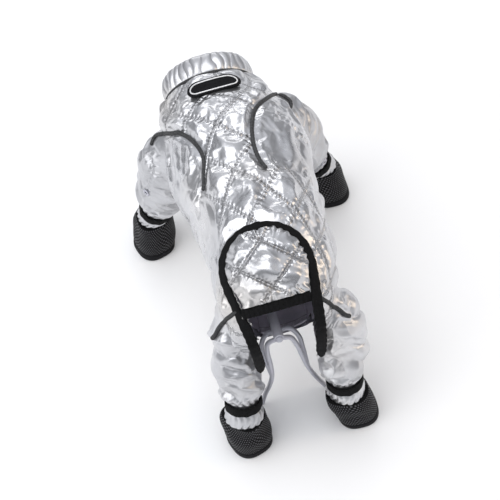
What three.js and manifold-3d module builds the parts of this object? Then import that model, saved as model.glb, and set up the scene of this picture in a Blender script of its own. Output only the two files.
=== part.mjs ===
// A quilted dog jumpsuit with four boots, standing on the plain wire stand that holds its shape.
// Millimetres. +X is the dog's right, +Y is forward to the neck, +Z is up, and the boots stand on z = 0.
// The body and legs are lofted shells: a table of sections gives each its outline as shares of named sizes.
import * as THREE from "three";
import { mergeVertices } from "three/addons/utils/BufferGeometryUtils.js";
import Module from "manifold-3d";

const wasm = await Module();
wasm.setup();

// Body
const torsoLength = 306;
const backHeight = 268;
const bellyHeight = 110;
const chestWidth = 150;
const neckTilt = 18;
const quiltWall = 4;
const quiltPuff = 4;
const bellyRearEdge = 50;

// Quilting: diamonds round the whole girth and along the body, and where two stitch lines cross. It fades
// out towards the plain belly between two shares of the girth, counted from the middle of the back.
const diamondsAround = 9.5;
const diamondsAlong = 5;
const crossingColumn = 10;
const crossingRow = 7;
const quiltFades = 0.3;
const quiltEnds = 0.36;

// Collar, pipings and bindings
const collarHeight = 25;
const collarWall = 3;
const collarGathers = 26;
const gatherDepth = 1.8;
const pipingDiameter = 4.4;
const bindingWidth = 10;
const bindingThickness = 3.4;

// Rear opening, drawn as it looks along the direction that it faces, and its flap. The top of the arch lies
// at a share of the body's length, and the opening leans back to the middle by a share of its shift.
const openingFacing = 53;
const archAlong = 0.262;
const archHalfWidth = 44;
const archHeight = 42;
const flapEndHalfWidth = 37;
const flapLength = 73;
const openingLength = 142;
const openingEndHalfWidth = 30;
const openingShift = -5;
const openingLean = 0.4;
const openingSink = 60;
const flapWall = 4;
const flapBulge = 7;
const flapPucker = 1.2;

// Legs, cuffs and ankle skirts
const plainWall = 2.6;
const sleevePuff = 29;
const thighPuff = 23;
const ankleRadius = 16.4;
const ankleRise = 15;
const cuffHeight = 11;
const cuffThickness = 2.2;
const cuffEase = 0.7;
const skirtWall = 2;
const skirtRadius = 14.6;
const skirtDepth = 12;
const eyeletDiameter = 9;
const eyeletBore = 3.6;
const eyeletThickness = 1.6;

// Boots
const bootWidth = 46;
const bootLength = 50;
const bootHeight = 50;
const bootWall = 2.6;
const bootSquare = 2.6;
const soleThickness = 8;
const soleLip = 0.6;
const soleTuck = 1.4;

// Name patch and belly lining
const patchLength = 50;
const patchWidth = 23;
const patchThickness = 1.4;
const borderInset = 3;
const borderWidth = 1.4;
const borderHeight = 0.6;
const patchFromNape = 24;
const liningThickness = 1.6;
const liningSeat = 2;
const liningLength = 84;
const liningSpread = 0.075;
const hemWidth = 8;

// Wire stand
const railDiameter = 10;
const railBore = 7;
const railLength = 236;
const railRear = 2;
const railOffset = -10;
const railHeight = 178;
const rodDiameter = 5;
const braceAhead = 13;
const standFootInset = 23;
const standFootAhead = 36;
const standFootClear = 0.86;

// The gap that keeps two pieces apart
const gap = 0.3;

// Body sections from the rump to the neck. along is a share of torsoLength, wide of half the chest width,
// top and bottom are shares of the way from the belly's height to the back's, square is the exponent of the
// rounded outline, and shift is the sideways sway of the soft body as a share of the chest width.
const bodySections = [
  { along: -0.012, wide: 0.3, top: 0.6, bottom: 0.36, square: 2.0, shift: -0.02 },
  { along: 0.02, wide: 0.59, top: 0.75, bottom: 0.24, square: 2.0, shift: -0.02 },
  { along: 0.06, wide: 0.69, top: 0.84, bottom: 0.16, square: 2.0, shift: -0.01 },
  { along: 0.13, wide: 0.78, top: 0.92, bottom: 0.07, square: 2.1, shift: 0.0 },
  { along: 0.26, wide: 0.81, top: 0.97, bottom: 0.02, square: 2.2, shift: 0.03 },
  { along: 0.42, wide: 0.83, top: 0.985, bottom: 0.01, square: 2.2, shift: 0.04 },
  { along: 0.6, wide: 0.91, top: 0.995, bottom: 0.0, square: 2.2, shift: 0.03 },
  { along: 0.76, wide: 0.98, top: 1.0, bottom: 0.02, square: 2.2, shift: 0.02 },
  { along: 0.89, wide: 0.9, top: 0.985, bottom: 0.12, square: 2.1, shift: 0.0 },
  { along: 1.0, wide: 0.64, top: 0.955, bottom: 0.36, square: 2.0, shift: -0.02 },
];
const neckTiltStarts = 0.72;

// Leg sections from the root inside the body to the ankle. along is a share of the leg's centre line, and
// wide and deep are shares of the leg's puff radius.
const legSections = [
  { along: 0.0, wide: 1.0, deep: 1.1 },
  { along: 0.22, wide: 1.04, deep: 1.14 },
  { along: 0.42, wide: 1.06, deep: 1.1 },
  { along: 0.62, wide: 1.0, deep: 1.02 },
  { along: 0.8, wide: 0.9, deep: 0.91 },
  { along: 0.9, wide: 0.78, deep: 0.8 },
];

// Legs: the points of each centre line from inside the body to the middle of the cuff, and the middle of the
// sole. out is a share of half the chest width, along of torsoLength, and up of the way from the ankle's
// height to the back's. yaw turns the toe out, in degrees.
const legs = [
  {
    name: "front_right", side: 1, front: true, yaw: 2,
    line: [
      { out: 0.16, along: 0.784, up: 0.734 }, { out: 0.613, along: 0.837, up: 0.68 },
      { out: 0.88, along: 0.869, up: 0.493 }, { out: 1.08, along: 0.931, up: 0.246 },
      { out: 1.28, along: 0.98, up: 0 },
    ],
    sole: { out: 1.467, along: 0.987 },
  },
  {
    name: "front_left", side: -1, front: true, yaw: 16,
    line: [
      { out: 0.16, along: 0.765, up: 0.734 }, { out: 0.613, along: 0.817, up: 0.68 },
      { out: 0.867, along: 0.85, up: 0.493 }, { out: 1.04, along: 0.915, up: 0.246 },
      { out: 1.213, along: 0.964, up: 0 },
    ],
    sole: { out: 1.4, along: 0.971 },
  },
  {
    name: "hind_right", side: 1, front: false, yaw: 2,
    line: [
      { out: 0.38, along: 0.131, up: 0.665 }, { out: 0.5, along: 0.111, up: 0.557 },
      { out: 0.63, along: 0.085, up: 0.419 }, { out: 0.65, along: 0.052, up: 0.197 },
      { out: 0.64, along: 0.033, up: 0 },
    ],
    sole: { out: 0.76, along: 0.033 },
  },
  {
    name: "hind_left", side: -1, front: false, yaw: 18,
    line: [
      { out: 0.427, along: 0.15, up: 0.665 }, { out: 0.547, along: 0.144, up: 0.557 },
      { out: 0.653, along: 0.131, up: 0.419 }, { out: 0.707, along: 0.098, up: 0.197 },
      { out: 0.773, along: 0.056, up: 0 },
    ],
    sole: { out: 0.813, along: 0.039 },
  },
];
const blouseStarts = 0.9;

// Folds of the soft legs: where each sits as a share of the leg's length, the angle round the leg that it is
// centred on, its height as a share of the puff radius, how far it reaches along and round, and its slant.
const legFolds = [
  { along: 0.42, round: 75, height: 0.11, reach: 0.06, spread: 60, slant: 0.05 },
  { along: 0.6, round: 100, height: 0.13, reach: 0.055, spread: 70, slant: -0.05 },
  { along: 0.76, round: 80, height: 0.12, reach: 0.05, spread: 80, slant: 0.03 },
  { along: 0.5, round: 250, height: 0.12, reach: 0.07, spread: 60, slant: -0.06 },
  { along: 0.72, round: 290, height: 0.11, reach: 0.06, spread: 60, slant: 0.05 },
];
const foldsFade = 0.84;
const foldsEnd = 0.92;

// Where the eyelet of each sleeve sits: a share of the leg's length and of a turn round it, and its height
// over the sleeve as a share of its own thickness
const eyelets = {
  right: { along: 0.85, round: 0.14, seat: 1.1 },
  left: { along: 0.52, round: 0.42, seat: 0 },
};

// Boot outline: along is a share of the upper's height, wide and long of the boot's width and length
const bootSections = [
  { along: 0.0, wide: 0.94, long: 0.96 },
  { along: 0.35, wide: 1.0, long: 1.0 },
  { along: 0.72, wide: 0.98, long: 0.92 },
  { along: 1.0, wide: 0.9, long: 0.84 },
];

// Rods of the rear bow below the rail: left, right and ahead are shares of the way from the rail's end to the
// stand's foot, and up is a share of the rail's height.
const bowPoints = [
  { left: 0.38, right: 0.24, ahead: 0.16, up: 0.95 },
  { left: 0.48, right: 0.37, ahead: 0.22, up: 0.84 },
  { left: 0.46, right: 0.45, ahead: 0.26, up: 0.7 },
  { left: 0.48, right: 0.54, ahead: 0.34, up: 0.55 },
  { left: 0.6, right: 0.66, ahead: 0.54, up: 0.38 },
  { left: 0.8, right: 0.8, ahead: 0.78, up: 0.2 },
];
const bracePoints = [
  { left: 0.32, right: 0.27, ahead: 0.36, up: 0.965 },
  { left: 0.6, right: 0.46, ahead: 0.4, up: 0.86 },
  { left: 0.58, right: 0.52, ahead: 0.42, up: 0.7 },
];
const braceJoin = 3;

// Shares of each sleeve where the front bow's rod keeps to its middle
const frontRodShares = [0.32, 0.6, 0.85];

const materials = {
  silver: { color: 0xc9c9cc, roughness: 0.3, metalness: 0.9 },
  black: { color: 0x0b0b0c, roughness: 0.9, metalness: 0 },
  piping: { color: 0x3c3d3c, roughness: 0.55, metalness: 0.3 },
  rubber: { color: 0x18181b, roughness: 0.55, metalness: 0 },
  lining: { color: 0x4b4853, roughness: 0.8, metalness: 0 },
  white: { color: 0xf2f2f2, roughness: 0.7, metalness: 0 },
  steel: { color: 0x8d8f99, roughness: 0.35, metalness: 0.9 },
};

const group = new THREE.Group();
const radians = THREE.MathUtils.degToRad;
const smooth = THREE.MathUtils.smoothstep;
const mix = THREE.MathUtils.lerp;
const vector = (x = 0, y = 0, z = 0) => new THREE.Vector3(x, y, z);

// A column of a table at a share along it, on a smooth curve through the rows
function column(rows, key, share) {
  const last = rows.length - 1;
  const at = THREE.MathUtils.clamp(share, rows[0].along, rows[last].along);
  let i = 0;
  while (i < last - 1 && rows[i + 1].along < at) i++;
  const slope = (k) => {
    const a = rows[Math.max(k - 1, 0)];
    const b = rows[Math.min(k + 1, last)];
    return (b[key] - a[key]) / (b.along - a.along);
  };
  const width = rows[i + 1].along - rows[i].along;
  const t = (at - rows[i].along) / width;
  const t2 = t * t;
  const t3 = t2 * t;
  const ends = (2 * t3 - 3 * t2 + 1) * rows[i][key] + (3 * t2 - 2 * t3) * rows[i + 1][key];
  return ends + (t3 - 2 * t2 + t) * width * slope(i) + (t3 - t2) * width * slope(i + 1);
}

// A three.js geometry as a solid, turned the right way out
function fromGeometry(geometry) {
  const bare = geometry.index ? geometry.toNonIndexed() : geometry.clone();
  bare.deleteAttribute("normal");
  bare.deleteAttribute("uv");
  const merged = mergeVertices(bare, 1e-3);
  const triVerts = new Uint32Array(merged.index.array);
  const vertProperties = merged.attributes.position.array;
  const made = new wasm.Manifold(new wasm.Mesh({ numProp: 3, vertProperties, triVerts }));
  if (made.volume() > 0) return made;
  const turned = triVerts.map((_, i) => triVerts[i - (i % 3) + [0, 2, 1][i % 3]]);
  return new wasm.Manifold(new wasm.Mesh({ numProp: 3, vertProperties, triVerts: turned }));
}

// A closed solid from rings of points, joined each to the next. The ends are closed by fans, by strips across
// a flat ring from one side to the other, or by joining the last ring to the first.
function fromRings(rings, ends = "fans") {
  const around = rings[0].length;
  const positions = rings.flat().flatMap((p) => p.toArray());
  const index = [];
  const strips = ends === "joined" ? rings.length : rings.length - 1;
  for (let j = 0; j < strips; j++)
    for (let i = 0; i < around; i++) {
      const a = j * around + i;
      const b = j * around + ((i + 1) % around);
      const c = ((j + 1) % rings.length) * around + i;
      const d = ((j + 1) % rings.length) * around + ((i + 1) % around);
      if ((i + j) % 2) index.push(a, b, d, a, d, c);
      else index.push(a, b, c, b, d, c);
    }
  const rows = ends === "joined" ? [] : [0, rings.length - 1];
  for (const row of rows) {
    const face = (a, b, c) => index.push(...(row ? [a, b, c] : [b, a, c]));
    const first = row * around;
    if (ends === "fans") {
      const middle = rings[row].reduce((sum, p) => sum.add(p), vector()).divideScalar(around);
      const centre = positions.push(...middle.toArray()) / 3 - 1;
      for (let i = 0; i < around; i++) face(first + i, first + ((i + 1) % around), centre);
    } else
      for (let i = 0; i < around / 2 - 1; i++) {
        const under = first + around - 1 - i;
        face(first + i, first + i + 1, under);
        face(first + i + 1, under - 1, under);
      }
  }
  const geometry = new THREE.BufferGeometry();
  geometry.setAttribute("position", new THREE.Float32BufferAttribute(positions, 3));
  geometry.setIndex(index);
  return fromGeometry(geometry);
}

// A solid whose rings lie at stations: point(u, station) runs once round in u
function loft(point, around, stations) {
  return fromRings(stations.map((at) => Array.from({ length: around }, (_, i) => point(i / around, at))));
}

// A section carried along a path. Its points are [across, out]: out follows the normals.
function sweep(path, normals, section, closed) {
  const count = path.length;
  const rings = path.map((p, i) => {
    const next = path[closed ? (i + 1) % count : Math.min(i + 1, count - 1)];
    const last = path[closed ? (i - 1 + count) % count : Math.max(i - 1, 0)];
    const ahead = next.clone().sub(last).normalize();
    const side = vector().crossVectors(ahead, normals[i]).normalize();
    const out = vector().crossVectors(side, ahead).normalize();
    return section.map(([a, b]) => p.clone().addScaledVector(side, a).addScaledVector(out, b));
  });
  return fromRings(rings, closed ? "joined" : "fans");
}

function roundSection(radius, sides) {
  return Array.from({ length: sides }, (_, i) => {
    const angle = (2 * Math.PI * (i + 0.5)) / sides;
    return [radius * Math.cos(angle), radius * Math.sin(angle)];
  });
}

function flatSection(width, thickness) {
  const w = width / 2;
  const t = thickness / 2;
  return [[-w, -t], [w, -t], [w, t], [-w, t]];
}

// Names the largest body of a solid, without the crumbs that a curved cut leaves
function add(name, solid, material) {
  const made = solid.decompose().sort((a, b) => b.volume() - a.volume())[0].getMesh();
  const geometry = new THREE.BufferGeometry();
  geometry.setAttribute("position", new THREE.BufferAttribute(made.vertProperties, 3));
  geometry.setIndex(new THREE.BufferAttribute(made.triVerts, 1));
  const mesh = new THREE.Mesh(geometry, new THREE.MeshStandardMaterial(materials[material]));
  mesh.name = name;
  group.add(mesh);
}

// Where a function of one number changes sign between two values
function root(f, low, high) {
  const sign = f(low) > 0;
  for (let i = 0; i < 32; i++) {
    const middle = (low + high) / 2;
    if (f(middle) > 0 === sign) low = middle;
    else high = middle;
  }
  return (low + high) / 2;
}

// Points eased towards the middle of their neighbours, the ends kept
function eased(points, times) {
  if (!times) return points;
  const last = points.length - 1;
  const moved = points.map((p, i) => {
    if (i === 0 || i === last) return p;
    return p.clone().multiplyScalar(2).add(points[i - 1]).add(points[i + 1]).divideScalar(4);
  });
  return eased(moved, times - 1);
}

// A path with its two ends carried straight on
function lengthened(path, by) {
  const carry = (end, before) => end.clone().addScaledVector(end.clone().sub(before).normalize(), by);
  const last = path.length - 1;
  return [carry(path[0], path[1]), ...path.slice(1, last), carry(path[last], path[last - 1])];
}

// The body's section at a share of its length
function bodySection(share) {
  const tall = backHeight - bellyHeight;
  const tilt = radians(neckTilt) * smooth(share, neckTiltStarts, 1);
  const top = bellyHeight + tall * column(bodySections, "top", share);
  const bottom = bellyHeight + tall * column(bodySections, "bottom", share);
  const sway = chestWidth * column(bodySections, "shift", share);
  return {
    centre: vector(sway, share * torsoLength, (top + bottom) / 2),
    up: vector(0, -Math.sin(tilt), Math.cos(tilt)),
    half: (top - bottom) / 2,
    wide: (chestWidth / 2) * column(bodySections, "wide", share),
    square: column(bodySections, "square", share),
  };
}

// A point of the body's surface, moved outwards by lift. u runs once round from the belly.
function bodyPoint(u, share, lift) {
  const section = bodySection(share);
  const power = 2 / section.square;
  const s = Math.sin(2 * Math.PI * u);
  const c = -Math.cos(2 * Math.PI * u);
  const x = Math.sign(s) * Math.abs(s) ** power * (section.wide + lift);
  const h = Math.sign(c) * Math.abs(c) ** power * (section.half + lift);
  return section.centre.clone().add(vector(x)).addScaledVector(section.up, h);
}

// The way that the neck opening faces
const neckAhead = vector(0, Math.cos(radians(neckTilt)), Math.sin(radians(neckTilt)));

// Height of the quilted pillows: zero on the crossing stitch lines, one at the middle of a diamond.
// u runs round the body and v along it. The belly is plain.
function pillow(u, v) {
  const across = diamondsAround * u - crossingColumn / 2;
  const along = diamondsAlong * v - crossingRow / 2;
  const lines = Math.sin(Math.PI * (across + along)) * Math.sin(Math.PI * (across - along));
  return Math.sqrt(Math.abs(lines)) * (1 - smooth(Math.abs(u - 0.5), quiltFades, quiltEnds));
}

// The body's length starts behind the rump, and stops short of the piping in the neck's seam
const neckSeam = pipingDiameter / 2 + gap;
const bodyStart = bodySections[0].along;
const bodyEnd = 1 - neckSeam / torsoLength;
const bodyAround = 2 * diamondsAround;
const bodyRows = 2 * diamondsAlong;
const outerStations = [0, 0.02, 0.055, ...Array.from({ length: bodyRows }, (_, i) => (i + 1) / bodyRows)];
const innerStations = [0.014, 0.04, 0.1, 0.16, 0.23, 0.32, 0.6, 0.8, 0.92, 1.03];

// The body's outline as a closed solid, moved outwards by lift, with or without the pillows
function bodySolid(lift, relief, stations) {
  return loft((u, v) => {
    const share = mix(bodyStart, bodyEnd, v);
    const point = bodyPoint(u, Math.min(share, bodyEnd), lift + (relief ? quiltPuff * pillow(u, v) : 0));
    return point.addScaledVector(neckAhead, Math.max(0, share - bodyEnd) * torsoLength);
  }, bodyAround, stations);
}

// Below zero inside the body, above zero outside
function bodyField(p) {
  const past = (share) => {
    const { centre, up } = bodySection(share);
    return (p.y - centre.y) * up.z - (p.z - centre.z) * up.y;
  };
  if (past(bodyStart) < 0 || past(1) > 0) return 1;
  const section = bodySection(root(past, bodyStart, 1));
  const x = Math.abs(p.x - section.centre.x) / section.wide;
  const h = Math.abs(p.clone().sub(section.centre).dot(section.up)) / section.half;
  return x ** section.square + h ** section.square - 1;
}

// A leg's place from a row of its table
const ankleHeight = bootHeight + ankleRise;
function placeOf(leg, { out, along, up }) {
  const height = mix(ankleHeight, backHeight, up ?? 0);
  return vector((leg.side * out * chestWidth) / 2, along * torsoLength, height);
}

for (const leg of legs) {
  leg.curve = new THREE.CatmullRomCurve3(leg.line.map((row) => placeOf(leg, row)), false, "centripetal");
  leg.length = leg.curve.getLength();
  leg.puff = leg.front ? sleevePuff : thighPuff;
  leg.foot = placeOf(leg, leg.sole).setZ(0);
  // The share of the leg where the cuff's upper edge is
  leg.cuffShare = 1 - (cuffHeight / 2 + gap) / leg.length;
}
const hindLegs = legs.filter((leg) => !leg.front);

// The centre line's place and directions at a share of the leg: back is the side that faces the rear
function legFrame(leg, share) {
  const centre = leg.curve.getPointAt(share);
  const along = leg.curve.getTangentAt(share);
  const across = vector(1).addScaledVector(along, -along.x).normalize();
  return { centre, along, across, back: vector().crossVectors(along, across) };
}

// Radius of the leg at a share: the table, then the blouse that is drawn in to the ankle under the cuff
function legRadius(leg, share, key) {
  const drawn = smooth(share, blouseStarts, leg.cuffShare);
  return mix(leg.puff * column(legSections, key, share), ankleRadius, drawn);
}

// Height of the soft folds at a share of the leg and an angle round it, as a share of the puff radius
function foldHeight(share, degrees) {
  let height = 0;
  for (const fold of legFolds) {
    const turn = ((degrees - fold.round + 540) % 360) - 180;
    const down = (share - fold.along - (fold.slant * turn) / fold.spread) / fold.reach;
    height += fold.height * Math.exp(-down * down - (turn / fold.spread) ** 2);
  }
  return height * (1 - smooth(share, foldsFade, foldsEnd));
}

// A point of a leg's surface, moved outwards by lift. u runs once round from the dog's right.
function legPoint(leg, u, share, lift, folded) {
  const { centre, across, back } = legFrame(leg, share);
  const angle = 2 * Math.PI * u;
  const degrees = leg.side > 0 ? 360 * u : (540 - 360 * u) % 360;
  const out = lift + (folded ? leg.puff * foldHeight(share, degrees) : 0);
  const wide = (legRadius(leg, share, "wide") + out) * Math.cos(angle);
  const deep = (legRadius(leg, share, "deep") + out) * Math.sin(angle);
  return centre.addScaledVector(across, wide).addScaledVector(back, deep);
}

// A leg's outline as a closed solid that goes past its lower end by some millimetres
function legSolid(leg, lift, folded, around, rows, past) {
  const stations = Array.from({ length: rows }, (_, i) => (blouseStarts * i) / (rows - 1));
  stations.push((blouseStarts + leg.cuffShare) / 2, leg.cuffShare, 1);
  if (past) stations.push(1 + past / leg.length);
  return loft((u, share) => {
    const point = legPoint(leg, u, Math.min(share, 1), lift, folded);
    return point.addScaledVector(legFrame(leg, 1).along, Math.max(0, share - 1) * leg.length);
  }, around, stations);
}

// Below zero inside the leg
function legField(leg, p) {
  const past = (share) => {
    const { centre, along } = legFrame(leg, share);
    return p.clone().sub(centre).dot(along);
  };
  if (past(0) < 0 || past(1) > 0) return 1;
  const share = root(past, 0, 1);
  const { centre, across, back } = legFrame(leg, share);
  const offset = p.clone().sub(centre);
  const a = offset.dot(across) / legRadius(leg, share, "wide");
  const b = offset.dot(back) / legRadius(leg, share, "deep");
  return a * a + b * b - 1;
}

// The seam where a leg leaves the body: each line down the leg's surface is followed to where it comes out
function legSeam(leg, steps) {
  return Array.from({ length: steps }, (_, i) => {
    const out = (share) => bodyField(legPoint(leg, i / steps, share, 0, false));
    const step = 0.02;
    let share = blouseStarts;
    while (share > 2 * step && out(share - step) > 0) share -= step;
    return legPoint(leg, i / steps, share > 2 * step ? root(out, share - step, share) : share, 0, false);
  });
}

// The rear opening's plane: outward is the way that it faces, and rise is its own up
const facing = radians(openingFacing);
const outward = vector(0, -Math.cos(facing), Math.sin(facing));
const rise = vector(0, Math.sin(facing), Math.cos(facing));
const archTop = bodyPoint(0.5, archAlong, 0).dot(rise);

// Half width and middle of the opening at a distance below its top
function openingHalfWidth(down) {
  if (down < archHeight) return archHalfWidth * Math.sqrt(1 - (1 - down / archHeight) ** 2);
  if (down < flapLength) return mix(archHalfWidth, flapEndHalfWidth, smooth(down, archHeight, flapLength));
  return mix(flapEndHalfWidth, openingEndHalfWidth, (down - flapLength) / (openingLength - flapLength));
}
const openingCentre = (down) => openingShift * (1 - openingLean * Math.min(1, down / openingLength));

// A point over the opening's plane, at a depth along the way that it faces
function openingPoint(x, down, depth) {
  return vector(x).addScaledVector(rise, archTop - down).addScaledVector(outward, depth);
}

// Below zero inside the body or a hind leg
const rearField = (p) => Math.min(bodyField(p), ...hindLegs.map((leg) => legField(leg, p)));

// How far outward the uncut surface lies under a point of the opening's plane
function surfaceDepth(x, down) {
  const field = (depth) => rearField(openingPoint(x, down, depth));
  const step = 4;
  let depth = backHeight;
  while (depth > openingSink && field(depth) > 0) depth -= step;
  return depth > openingSink ? root(field, depth, depth + step) : openingSink;
}

// The way out of the surface near a point
function surfaceNormal(p) {
  const reach = 3;
  const change = (axis) =>
    rearField(p.clone().addScaledVector(axis, reach)) - rearField(p.clone().addScaledVector(axis, -reach));
  const normal = vector(change(vector(1)), change(vector(0, 1)), change(vector(0, 0, 1)));
  return normal.lengthSq() > 0 ? normal.normalize() : outward.clone();
}

// The edge of the opening, from its lower left end over the arch to the lower right end
function openingEdge(steps) {
  const archShare = 0.42;
  return Array.from({ length: steps + 1 }, (_, i) => {
    const t = (2 * i) / steps - 1;
    const across = Math.abs(t) / archShare;
    const down =
      across < 1
        ? archHeight * (1 - Math.cos((Math.PI / 2) * across))
        : mix(archHeight, openingLength, (across - 1) / (1 / archShare - 1));
    return { x: openingCentre(down) + Math.sign(t) * openingHalfWidth(down), down };
  });
}
const edgeLaid = openingEdge(24).map(({ x, down }) => openingPoint(x, down, surfaceDepth(x, down)));
const edgePath = eased(edgeLaid, 3);

// The cutter of the rear opening: its outline carried along the way that it faces
function openingCutter(near) {
  const far = 1.2 * backHeight;
  const ring = openingEdge(24);
  return fromRings([near, far].map((depth) => ring.map(({ x, down }) => openingPoint(x, down, depth))));
}

// Clears what the belly panel leaves open behind its rear edge, between the hind legs
function crotchCutter() {
  const tall = 4 * (quiltWall + quiltPuff);
  const box = new THREE.BoxGeometry(2 * openingEndHalfWidth, 2 * bellyRearEdge, tall);
  return fromGeometry(box.translate(0, 0, bellyHeight));
}

// Solids that nearby shells are cut back from, so that each piece keeps its gap
const clearances = [];
const cutBack = (solid) => clearances.reduce((rest, cut) => rest.subtract(cut), solid);

function makeArchBinding() {
  const normals = eased(edgePath.map(surfaceNormal), 5);
  add("arch_binding", sweep(edgePath, normals, flatSection(bindingWidth, bindingThickness), false), "black");
  const wider = flatSection(bindingWidth + 4 * gap, bindingThickness + 6 * gap);
  clearances.push(sweep(lengthened(edgePath, 1), normals, wider, false));
}

// The longest run of a ring of points that stays clear of the binding round the rear opening
function clearOfBinding(ring) {
  const reach = (bindingWidth + pipingDiameter) / 2 + 6 * gap;
  const between = edgePath.slice(1).map((p, i) => p.clone().lerp(edgePath[i], 0.5));
  const keep = ring.map((p) => Math.min(...[...edgePath, ...between].map((q) => q.distanceTo(p))) > reach);
  let best = [];
  for (let start = 0; start < ring.length; start++) {
    let length = 0;
    while (length < ring.length && keep[(start + length) % ring.length]) length++;
    if (length > best.length) best = Array.from({ length }, (_, i) => ring[(start + i) % ring.length]);
  }
  return best;
}

// The piping in the seam of a sleeve or a hind leg
const pipingSides = 5;
function makeLegPiping(leg) {
  const seam = eased(legSeam(leg, 16), 1);
  const path = leg.front ? seam : clearOfBinding(seam);
  const normals = path.map(surfaceNormal);
  const name = (leg.front ? "armhole_piping_" : "hip_piping_") + (leg.side > 0 ? "right" : "left");
  add(name, sweep(path, normals, roundSection(pipingDiameter / 2, pipingSides), leg.front), "piping");
  const wider = roundSection(pipingDiameter / 2 + 1.5 * gap, pipingSides);
  clearances.push(sweep(leg.front ? path : lengthened(path, 1), normals, wider, leg.front));
}

// The quilted shell, open at the neck, at the rear and where each leg leaves it
function makeBody() {
  let shell = bodySolid(0, true, outerStations).subtract(bodySolid(-quiltWall, false, innerStations));
  shell = shell.subtract(openingCutter(openingSink + 15)).subtract(crotchCutter());
  for (const leg of legs) shell = shell.subtract(legSolid(leg, -plainWall, false, 10, 5, 0));
  add("quilted_body", cutBack(shell), "silver");
}

// The piping in the seam of the neck
function makeCollarPiping() {
  const steps = 22;
  const { centre } = bodySection(1);
  const path = Array.from({ length: steps }, (_, i) => bodyPoint(i / steps, 1, -pipingDiameter / 4));
  const normals = path.map((p) => p.clone().sub(centre).normalize());
  add("collar_piping", sweep(path, normals, roundSection(pipingDiameter / 2, pipingSides), true), "piping");
}

// The gathered band of the neck: its folds run the way that the neck faces
function makeCollar() {
  const steps = 2 * collarGathers;
  const surface = (lift, past) =>
    loft((u, v) => {
      const fold = Math.round(u * steps) % 2 ? gatherDepth / 2 : -gatherDepth / 2;
      const slack = 1 - 0.5 * Math.sin(Math.PI * v);
      const point = bodyPoint(u, 1, lift - collarWall / 2 + fold * slack);
      return point.addScaledVector(neckAhead, neckSeam - past + (collarHeight + 2 * past) * v);
    }, steps, [0, 0.5, 1]);
  add("collar", surface(0, 0).subtract(surface(-collarWall, 1)), "silver");
}

// The rim of a flat piece as a ring of shares: once across the top, then back under it
function flatRing(steps, point) {
  const shares = Array.from({ length: steps + 1 }, (_, i) => (2 * i) / steps - 1);
  const above = shares.map((share) => point(share, true));
  return [...above, ...shares.reverse().map((share) => point(share, false))];
}

// The padded flap of the rear opening, gathered at its sides
function makeFlap() {
  const rows = 7;
  const first = bindingWidth / 2 + gap;
  const rings = Array.from({ length: rows + 1 }, (_, j) => {
    const down = mix(first, flapLength, j / rows);
    return flatRing(6, (share, top) => {
      const x = openingCentre(down) + share * (openingHalfWidth(down) - bindingWidth / 2 - gap);
      const swell = Math.sqrt(1 - share * share) * Math.sin(Math.PI * (down / flapLength) ** 0.8);
      const pucker = flapPucker * (j % 2) * Math.abs(share) ** 3;
      const lift = flapBulge * swell + pucker - (top ? 0 : flapWall);
      return openingPoint(x, down, surfaceDepth(x, down) + lift);
    });
  });
  add("seat_flap", cutBack(fromRings(rings, "flat")), "silver");
}

// The straight black tape along the flap's end
function makeFlapBinding() {
  const down = flapLength + gap + bindingWidth / 2;
  const half = openingHalfWidth(down) - bindingWidth / 2 - 3 * gap;
  const path = Array.from({ length: 9 }, (_, i) => {
    const x = openingCentre(down) + half * (i / 4 - 1);
    return openingPoint(x, down, surfaceDepth(x, down) - flapWall / 2);
  });
  const section = flatSection(bindingWidth, bindingThickness);
  add("flap_binding", sweep(eased(path, 4), path.map(() => outward), section, false), "black");
}

// The lining laid inside the belly, doubled along its hemmed rear edge
function makeLining() {
  const hem = hemWidth / liningLength;
  const rings = [0, hem, hem + 0.02, 0.4, 0.7, 1].map((v) =>
    flatRing(6, (share, top) => {
      const thick = top ? liningThickness * (v > hem ? 1 : 2) : 0;
      const along = (bellyRearEdge - hemWidth / 2 + v * liningLength) / torsoLength;
      return bodyPoint(liningSpread * share, along, -quiltWall - liningSeat - thick);
    }));
  add("belly_lining", fromRings(rings, "flat"), "lining");
}

// A point over the back near the nape: x across and y along the name patch
const patchShare = 1 - patchFromNape / torsoLength;
const patchSeat = quiltPuff + 2 * gap;
function onBack(x, y, lift) {
  const { wide, half } = bodySection(patchShare);
  return bodyPoint(0.5 - x / (Math.PI * (wide + half)), patchShare + y / torsoLength, lift);
}

// The name patch: a stadium laid over the quilting
function makePatch() {
  const steps = 14;
  const straight = (patchLength - patchWidth) / 2;
  const rings = Array.from({ length: steps + 1 }, (_, i) => {
    const x = -0.499 * patchLength * Math.cos((Math.PI * i) / steps);
    const past = Math.max(0, Math.abs(x) - straight);
    const half = Math.sqrt((patchWidth / 2) ** 2 - past ** 2);
    return flatRing(2, (share, top) => onBack(x, half * share, patchSeat + (top ? patchThickness : 0)));
  });
  add("name_patch", fromRings(rings, "flat"), "black");
}

// The white line sewn round the patch, inside its edge
function makePatchBorder() {
  const radius = patchWidth / 2 - borderInset - borderWidth / 2;
  const straight = (patchLength - patchWidth) / 2;
  const outline = [];
  for (const side of [1, -1]) {
    for (let i = 0; i <= 6; i++) {
      const angle = Math.PI * (i / 6 - 0.5);
      outline.push([side * (straight + radius * Math.cos(angle)), side * radius * Math.sin(angle)]);
    }
    for (const share of [0.5, 0, -0.5]) outline.push([side * share * straight, side * radius]);
  }
  const lift = patchSeat + patchThickness + 3 * gap + borderHeight / 2;
  const path = outline.map(([x, y]) => onBack(x, y, lift));
  const normals = outline.map(([x, y]) => onBack(x, y, lift + 1).sub(onBack(x, y, lift)));
  add("patch_border", sweep(path, normals, flatSection(borderWidth, borderHeight), true), "white");
}

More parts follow.
